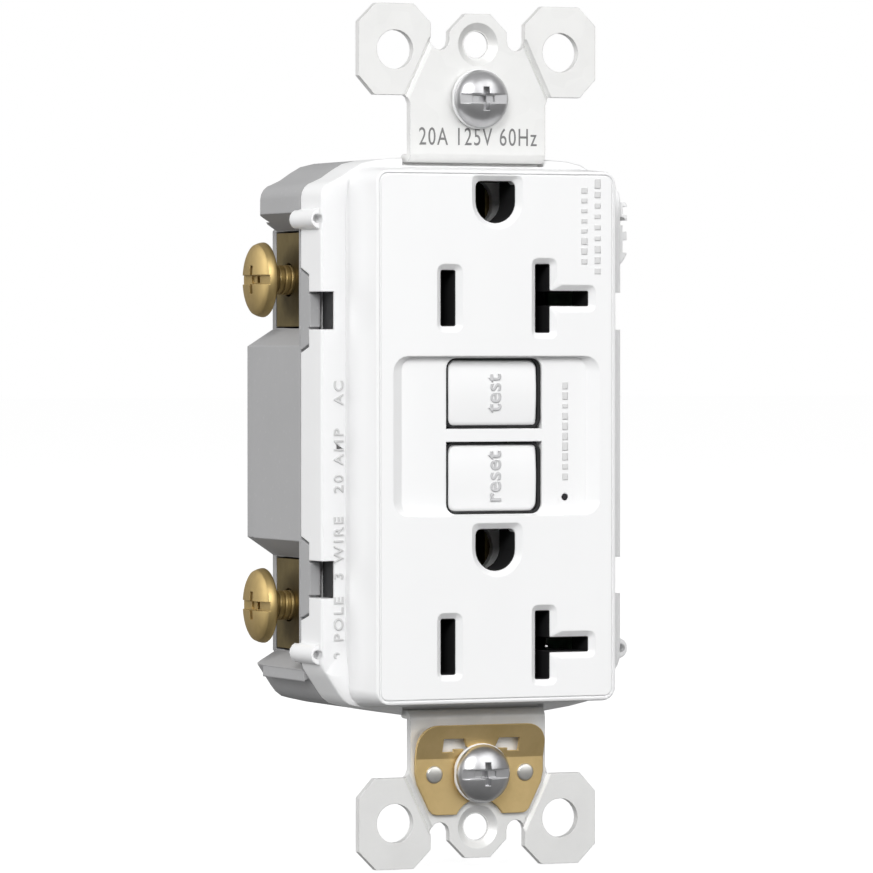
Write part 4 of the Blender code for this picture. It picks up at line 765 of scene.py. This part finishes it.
terminal_head = combination_head(
    [(0.0, 1.80), (0.8, 1.79), (1.6, 1.75), (2.4, 1.67), (3.1, 1.56), (3.7, 1.42), (4.15, 1.26),
     (4.42, 1.08), (4.62, 0.62), (4.69, 0.3), (4.70, 0.1), (4.64, 0.0), (1.5, 0.0), (0.0, 0.0)],
    slot_width=1.15, slot_floor=0.95, arm=1.75, arm_width=0.95, arm_floor=0.75, pilot=0.45)
mount_head = combination_head(
    [(0.0, 1.95), (0.7, 1.92), (1.4, 1.80), (2.1, 1.58), (2.7, 1.28), (3.2, 0.9), (3.48, 0.55),
     (3.58, 0.3), (3.60, 0.12), (3.52, 0.0), (1.4, 0.0), (0.0, 0.0)],
    slot_width=1.19, slot_floor=0.92, arm=1.45, arm_width=0.8, arm_floor=0.7, pilot=0.42)

TERMINAL_SEAT_X = 20.2         # underside of a terminal screw's head, from the middle
GROUND_HEAD, MOUNT_HEAD = 1.9, 1.95
bright = rubbed_metal("bright_steel", (0.62, 0.62, 0.63), (0.42, 0.42, 0.43), 0.20)
for pole, side, metal in (("hot", -1, "brass"), ("neutral", 1, "nickel_plate")):
    for end in ("upper", "lower"):
        node = f"{pole}_screw_{end}"
        low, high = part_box(node)
        seat = (side * TERMINAL_SEAT_X, *middle_of(node)[1:])
        length = TERMINAL_SEAT_X - min(abs(low[0]), abs(high[0])) / MM
        mesh = moved(screw_mesh(terminal_head, 1.68, 0.36, length, finishes[metal]),
                     lay(seat, (side, 0, 0), BACK))
        piece(f"{node}_detail", mesh, finishes[metal], node, [node])
low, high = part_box("ground_screw")
seat = (high[0] / MM - GROUND_HEAD, *middle_of("ground_screw")[1:])
mesh = screw_mesh(mount_head, 1.5, 0.34, seat[0] - low[0] / MM, finishes["green_screw"])
piece("ground_screw_detail", moved(mesh, lay(seat, RIGHT, BACK)), finishes["green_screw"],
      "ground_screw", ["ground_screw"])
for end in ("upper", "lower"):
    node = f"device_screw_{end}"
    low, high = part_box(node)
    seat = (0.0, low[1] / MM + MOUNT_HEAD, middle_of(node)[2])
    mesh = screw_mesh(mount_head, 1.36, 0.33, high[1] / MM - seat[1], bright)
    piece(f"{node}_detail", moved(mesh, lay(seat, FRONT, RIGHT)), bright, node, [node])

# %% [markdown]
# The washer that keeps a mounting screw from falling out is punched from white plastic, with a
# flat cut on two sides. It is a thin ring, softened on its edges.

# %% Retaining washers
def circle(radius, steps=48):
    return [(radius * math.cos(2 * math.pi * k / steps), radius * math.sin(2 * math.pi * k / steps))
            for k in range(steps)]


for end in ("upper", "lower"):
    node = f"retaining_washer_{end}"
    low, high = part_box(node)
    outline = [(max(-3.62, min(3.9, u)), v) for u, v in circle(3.72)]
    ring = rounded(flat([outline, circle(1.8)], 0.0, (high[1] - low[1]) / MM), 0.08, 2)
    ring = moved(ring, lay((0.0, high[1] / MM, middle_of(node)[2]), FRONT, RIGHT))
    piece(f"{node}_detail", ring, finishes["white_plastic"], node, [node])

# %% [markdown]
# Lettering on a moulding is raised or sunk by a tenth of a millimetre. Text becomes a mesh before
# it is laid in place, because a finished piece keeps its place in its mesh. Only generic wording is
# used: what each button does, which end takes the supply, and the circuit's ratings.

# %% Lettering
def letters(text, size, depth, matrix, spacing=1.1, thin=0.0):
    """Text as a closed mesh; thin fattens the strokes, or slims them if it is negative."""
    curve = bpy.data.curves.new("text", "FONT")
    curve.body = text
    curve.size = size * MM
    curve.extrude = depth / 2 * MM
    curve.align_x = "CENTER"
    curve.align_y = "CENTER"
    curve.space_character = spacing
    curve.resolution_u = 6
    curve.offset = thin * MM
    mesh = merged(evaluated(linked(curve)), 0.002)
    mesh.transform(matrix)
    return mesh


RATING = "20A 125V 60Hz"
STRAP_FRONT_Y, REAR_MARK_Y = -1.04, 25.55
# The button words, raised letters and dashes are white moulding made grey: painted shade for the shading
# round raised marks.
shade_grey_words = white_moulding("painted_shade_word_plastic", (0.60, 0.60, 0.61), 0.42)
shaded_letter = white_moulding("painted_shade_letter_plastic", (0.70, 0.70, 0.70), 0.42)
stamped = rubbed_metal("stamped_mark", (0.30, 0.30, 0.30), (0.22, 0.22, 0.22), 0.5)
narrow = Matrix.Diagonal((0.7, 1.0, 1.0, 1.0))
strap_text = letters(RATING, 3.1, 0.05, lay((0.0, STRAP_FRONT_Y, 36.9), FRONT, RIGHT) @ narrow, 1.15)
piece("strap_rating", strap_text, stamped, "device")
for words, z in (("LOAD", 15.5), (RATING, 0.0), ("LINE", -15.5)):
    mark = letters(words, 2.6, 0.3, lay((0.0, REAR_MARK_Y, z), BACK, LEFT), 1.15, 0.02)
    piece(f"rear_mark_{words[:3]}", mark, finishes["grey_plastic"], "device")
print("letters ready")

# %% [markdown]
# The two buttons are caps with soft edges and a slight crown, so they catch light on their upper
# edges. The CAD caps already have the right outline, so a merged copy is kept, the edges of its
# front face are rounded, and the front is bent into the crown. The word on each cap rides with it,
# and its grey is painted shade for raised letters. A black frame in the panel is painted shade for
# the dark, shadowed space round the cap.

# %% Buttons
def arc(centre, radius, start, end, steps=8):
    angles = [math.radians(start + (end - start) * k / steps) for k in range(steps + 1)]
    return [(centre[0] + radius * math.cos(a), centre[1] + radius * math.sin(a)) for a in angles]


def crowned(mesh, front, low, high, drop, cuts=10):
    """Split the cap into strips and let its front fall away towards the upper and lower edges."""
    work = bmesh.new()
    work.from_mesh(mesh)
    middle, half = (low + high) / 2, (high - low) / 2
    for k in range(1, cuts):
        level = low + (high - low) * k / cuts
        bmesh.ops.bisect_plane(work, geom=work.verts[:] + work.edges[:] + work.faces[:],
                               plane_co=(0.0, 0.0, level * MM), plane_no=UP)
    for vert in work.verts:
        if vert.co.y < (front + 0.9) * MM:
            share = min(1.0, abs(vert.co.z / MM - middle) / half)
            vert.co.y += drop * share ** 2 * MM
    return to_mesh(work)


def box_outline(low, high, radius):
    """A rectangle with rounded corners, anticlockwise."""
    corners = ((high[0] - radius, low[1] + radius, -90), (high[0] - radius, high[1] - radius, 0),
               (low[0] + radius, high[1] - radius, 90), (low[0] + radius, low[1] + radius, 180))
    return [point for x, z, start in corners for point in arc((x, z), radius, start, start + 90, 6)]


COVER_FRONT_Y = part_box("front_cover")[0][1] / MM
PANEL_FLOOR_Y = -5.95
for node, word, word_z in (("test_button", "test", 5.38), ("reset_button", "reset", -4.93)):
    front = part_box(node)[0][1] / MM
    cap = merged_copy(node)
    ends = [vert.co.z / MM for vert in cap.vertices if vert.co.y < (front + 0.3) * MM]
    cap_low, cap_high = min(ends), max(ends)
    cap = rounded(cap, 0.38, 4, lambda a, b: a.y < front + 0.02 and b.y < front + 0.02, 20.0)
    cap = crowned(cap, front, cap_low, cap_high, 0.3)
    piece(f"{node}_cap", cap, finishes["white_plastic"], node, [node])
    word_mesh = letters(word, 2.9, 0.1, lay((0.2, front - 0.02, word_z), FRONT, UP), 1.05, 0.045)
    piece(f"{node}_word", word_mesh, shade_grey_words, node)
    # Painted shade: a black frame round the cap darkens the space between cap and panel.
    gap_shadow = flat([box_outline((-6.42, cap_low - 0.28), (6.42, cap_high + 0.2), 1.25),
                box_outline((-6.06, cap_low - 0.05), (6.06, cap_high + 0.05), 1.05)], -0.6, 0.0)
    gap_shadow = moved(gap_shadow, lay((0.0, PANEL_FLOOR_Y + 0.35, 0.0), FRONT, RIGHT))
    piece(f"{node}_gap", gap_shadow, finishes["black_plastic"], "device")

# %% [markdown]
# Each button rests on a coil spring, which shortens as the button goes in. Here each coil is a
# merged copy of its CAD node, kept as it is on the device.

# %% Button springs
for node in ("test_button_spring", "reset_button_spring"):
    low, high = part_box(node)
    spring = piece(f"{node}_detail", merged_copy(node), finishes["galvanised_steel"], "device", [node],
                   angle=60.0)
    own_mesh(spring)

# %% [markdown]
# The cover is the main moulding. Its CAD copy gets what only a close look shows: three slits in the
# guard at the upper right, a lowered shoulder on both sides of the face block, and a fine line
# round the face. Exact Booleans cut them all from one closed mesh.

# %% Cover
SHOULDER_OUT_X, SHOULDER_IN_X = 20.2, 16.74
SHOULDER_OUT_Y, SHOULDER_IN_Y = 0.42, 1.38


def shoulder_groove(side):
    """The wedge that lowers the shoulder beside the face block, with long sloped ends."""
    work = bmesh.new()
    for x, y, inset in ((SHOULDER_OUT_X, 0.2, 0.0), (SHOULDER_OUT_X, SHOULDER_OUT_Y, 0.6),
                        (SHOULDER_IN_X, SHOULDER_IN_Y, 5.0), (SHOULDER_IN_X, 0.2, 0.0)):
        for z in (-30.2 + inset, 32.6 - inset):
            work.verts.new((side * x * MM, y * MM, z * MM))
    work.verts.ensure_lookup_table()
    v = work.verts
    for face in ((0, 2, 4, 6), (1, 7, 5, 3), (0, 1, 3, 2), (2, 3, 5, 4), (4, 5, 7, 6), (6, 7, 1, 0)):
        work.faces.new([v[k] for k in face])
    return to_mesh(work)


tools = [block((20.75, -0.2, low), (21.7, 3.2, high))
         for low, high in ((27.6, 28.6), (25.5, 26.9), (22.9, 24.4))]
tools += [shoulder_groove(side) for side in (-1, 1)]
face_line = flat([box_outline((-15.72, -32.32), (15.72, 32.32), 1.1),
                  box_outline((-15.5, -32.1), (15.5, 32.1), 0.9)], -0.12, 0.3)
tools.append(moved(face_line, lay((0.0, COVER_FRONT_Y, 0.0), FRONT, RIGHT)))
cover = carve(merged_copy("front_cover"), tools)
piece("cover_detail", cover, finishes["white_plastic"], "device", ["front_cover"],
      angle=28.0)

# %% [markdown]
# A look into a slot meets darkness right behind its mouth. A thin black sleeve lines each opening,
# partly painted shade on the white walls of the opening, and further in the black inner plastic: its
# outer outline sits just inside the opening's walls, and its inner one a little further in.

# %% Slot sleeves
OUTLETS_Z = (17.03, -25.71)    # the line through each outlet's blade slots
GROUND_RISE = 11.89
SLEEVE = 0.07


def blade_slot(shrink):
    radius = 0.2 if shrink == 0.0 else 0.15
    return box_outline((-7.34 + shrink, -3.44 + shrink), (-5.36 - shrink, 3.44 - shrink), radius)


def armed_slot(shrink):
    left, right, tip = 5.36 + shrink, 7.34 - shrink, 12.58 - shrink
    tall, arm = 4.24 - shrink, 0.94 - shrink
    return [(left, -tall), (right, -tall), (right, -arm), (tip, -arm), (tip, arm), (right, arm),
            (right, tall), (left, tall)]


def ground_hole(shrink):
    radius, top = 2.66 - shrink, 2.5 - shrink
    outline = arc((0.0, 0.0), radius, 180, 360, 16) + [(radius, top), (-radius, top)]
    return [(u, v + GROUND_RISE) for u, v in outline]


# Painted shade: the black sleeves darken the white walls of each opening.
for index, outlet in enumerate(OUTLETS_Z):
    shade_and_black_sleeves = joined(*[flat([opening(0.0), opening(SLEEVE)], -5.2, -0.68)
                       for opening in (blade_slot, armed_slot, ground_hole)])
    shade_and_black_sleeves = moved(shade_and_black_sleeves, lay((0.0, COVER_FRONT_Y, outlet), FRONT, RIGHT))
    piece(f"slot_shade_and_black_liners_{index}", shade_and_black_sleeves, finishes["black_plastic"], "device")

# %% [markdown]
# The ratings stand on the lowered shoulder, which leans back, so their matrix faces out along the
# shoulder's own normal.

# %% Shoulder ratings
tilt = math.atan2(SHOULDER_IN_Y - SHOULDER_OUT_Y, SHOULDER_OUT_X - SHOULDER_IN_X)
outward = (math.sin(tilt), -math.cos(tilt), 0.0)
rating = letters("2 POLE  3 WIRE   20 AMP   AC", 2.0, 0.16, lay((-17.75, 1.06, -10.2), outward, UP),
                 1.3, 0.03)
# The rating's grey finish is painted shade for raised letters.
piece("side_rating", rating, shaded_letter, "device")

# %% [markdown]
# Two lines of small raised dashes stand where a maker prints its advice to the user. They are
# instances on a line, and a fixed seed gives each dash its own length, so that they read as marks
# and say nothing. The tree's inputs are the number of dashes, their step and their size.

# %% Dashes by Geometry Nodes
dashes = tree_with("raised_dashes", {"Count": 12, "Step": 0.001, "Width": 0.0009,
                                     "Height": 0.00012, "Seed": 3})
source = dashes.nodes.new("NodeGroupInput")
line = dashes.nodes.new("GeometryNodeMeshLine")
offset = dashes.nodes.new("ShaderNodeCombineXYZ")
brick = dashes.nodes.new("GeometryNodeMeshCube")
size = dashes.nodes.new("ShaderNodeCombineXYZ")
place_on = dashes.nodes.new("GeometryNodeInstanceOnPoints")
chance = dashes.nodes.new("FunctionNodeRandomValue")
chance.inputs[2].default_value = 0.35
chance.inputs[3].default_value = 0.85
stretch = dashes.nodes.new("ShaderNodeCombineXYZ")
stretch.inputs["Y"].default_value = 1.0
stretch.inputs["Z"].default_value = 1.0
given = source.outputs
wire(dashes, (given["Count"], line.inputs["Count"]), (given["Step"], offset.inputs["X"]),
     (offset.outputs[0], line.inputs["Offset"]), (given["Step"], size.inputs["X"]),
     (given["Width"], size.inputs["Y"]), (given["Height"], size.inputs["Z"]),
     (size.outputs[0], brick.inputs["Size"]), (line.outputs[0], place_on.inputs["Points"]),
     (brick.outputs["Mesh"], place_on.inputs["Instance"]), (given["Seed"], chance.inputs["Seed"]),
     (chance.outputs[1], stretch.inputs["X"]), (stretch.outputs[0], place_on.inputs["Scale"]))
close_tree(dashes, place_on.outputs[0], source)
DASH_HEIGHT = 0.12
for label, place, count, step, wide, seed in (
        ("upper_marks_inner", (11.75, COVER_FRONT_Y, 21.6), 8, 1.25, 0.8, 17),
        ("upper_marks_outer", (13.55, COVER_FRONT_Y, 20.4), 9, 1.35, 0.8, 17),
        ("panel_marks", (9.6, PANEL_FLOOR_Y, -5.0), 10, 1.25, 0.75, 11)):
    # The dashes take the same grey: painted shade for raised marks.
    mesh = grow(dashes, shaded_letter, Count=count, Step=step * MM, Width=wide * MM,
                Height=DASH_HEIGHT * MM, Seed=seed)
    piece(label, moved(mesh, lay(place, FRONT, UP)), shaded_letter, "device")

# %% [markdown]
# Each side of the cover's skirt has two windows where a hook of the rear housing shows. The hook
# ends part of the way across, and the rest of the window lies in shadow: a thin black sheet behind
# it is painted shade that keeps it dark.

# %% Hooks in the skirt windows
HOOK_END_Y = 4.2
windows = [(side, low, high) for side in (-1, 1) for low, high in ((13.2, 17.85), (-19.85, -15.25))]
cuts = []
for side, low, high in windows:
    inner, outer = (18.5, 21.0) if side > 0 else (-21.0, -18.5)
    cuts.append(block((inner, -1.0, low - 0.2), (outer, HOOK_END_Y, high + 0.2)))
piece("rear_housing_detail", carve(merged_copy("rear_housing"), cuts), finishes["grey_plastic"], "device",
      ["rear_housing"])
# Painted shade: thin black sheets behind the windows keep the open part dark.
shadow_sheets = [block((side * 18.55 - 0.04, 1.2, low + 0.05), (side * 18.55 + 0.04, HOOK_END_Y + 0.05, high - 0.05))
          for side, low, high in windows]
piece("window_shadow_sheets", joined(*shadow_sheets), finishes["black_plastic"], "device")

# %% [markdown]
# The self-grounding clip is half a millimetre of spring brass, riveted to the strap behind the
# lower screw. Its upper part leans forward. A flat blank with its windows is cut first, a line of
# points is added where it bends, and then the part above that line is sheared forward, which is
# what the press does.

# %% Self-grounding clip
CLIP_THICKNESS, CLIP_BEND_Z, CLIP_LEAN = 0.5, -39.8, math.radians(17.0)
CLIP_REAR_Y = STRAP_FRONT_Y - 0.06
half_blank = [(0.0, -35.6), (6.0, -35.6)] + arc((6.0, -38.2), 2.6, 90, 0)
half_blank += [(8.6, -41.6), (8.3, -43.0), (6.7, -46.2), (6.3, -46.6), (5.9, -46.75), (3.3, -46.75)]
half_blank += arc((0.0, -48.42), 3.55, 28, 90, 8)
outline = half_blank + [(-x, z) for x, z in reversed(half_blank[1:-1])]
window = [(-2.35, -39.45), (-2.35, -38.6), (-3.6, -38.6), (-3.6, -38.95), (-5.15, -38.95),
          (-5.15, -37.3), (-2.3, -37.3)]
window += [(-1.9, -38.4), (1.9, -38.4)] + [(-x, z) for x, z in reversed(window)]
hole = arc((0.0, -41.67), 3.15, 40, -220, 30) + window
work = bmesh.new()
work.from_mesh(flat([outline, hole], 0.0, CLIP_THICKNESS))
bmesh.ops.bisect_plane(work, geom=work.verts[:] + work.edges[:] + work.faces[:],
                       plane_co=(0.0, CLIP_BEND_Z * MM, 0.0), plane_no=(0.0, 1.0, 0.0))
for vert in work.verts:
    rise = vert.co.y - CLIP_BEND_Z * MM
    if rise > 0.0:
        vert.co.z += rise * math.tan(CLIP_LEAN)
clip = moved(to_mesh(work), lay((0.0, CLIP_REAR_Y, 0.0), FRONT, RIGHT))
piece("clip_detail", clip, clip_brass, "device", ["self_ground_clip"], angle=9.0)
RIVET = [(0.0, 0.34), (0.6, 0.33), (0.95, 0.25), (1.1, 0.1), (1.1, 0.0), (0.0, 0.0)]
for word, side in (("left", -1), ("right", 1)):
    place = (side * 6.15, CLIP_REAR_Y - CLIP_THICKNESS, -41.7)
    rivet = moved(turned(RIVET, 40), lay(place, FRONT, RIGHT))
    piece(f"clip_rivet_{word}_detail", rivet, finishes["nickel_plate"], "device",
          [f"clip_rivet_{word}"])

# %% [markdown]
# The floor is a plain pale sheet just under the lowest ear. It glows a little and is hidden from
# diffuse and glossy rays, so that it stays white and sends no light up onto the outlet.

# %% Floor
mesh = bpy.data.meshes.new("floor")
work = bmesh.new()
bmesh.ops.create_grid(work, x_segments=2, y_segments=2, size=6.0)
work.to_mesh(mesh)
work.free()
floor = bpy.data.objects.new("floor", mesh)
scene.collection.objects.link(floor)
floor.location = (0.0, 0.0, cad_box[0][2] - 0.0002)
paper = bpy.data.materials.new("pale_paper")
paper.use_nodes = True
sheet = paper.node_tree.nodes["Principled BSDF"]
sheet.inputs["Base Color"].default_value = (0.30, 0.30, 0.30, 1.0)
sheet.inputs["Roughness"].default_value = 0.9
sheet.inputs["Specular IOR Level"].default_value = 0.0
sheet.inputs["Emission Color"].default_value = (1.0, 1.0, 1.0, 1.0)
sheet.inputs["Emission Strength"].default_value = 0.86
floor.data.materials.append(paper)
floor.visible_diffuse = False
floor.visible_glossy = False
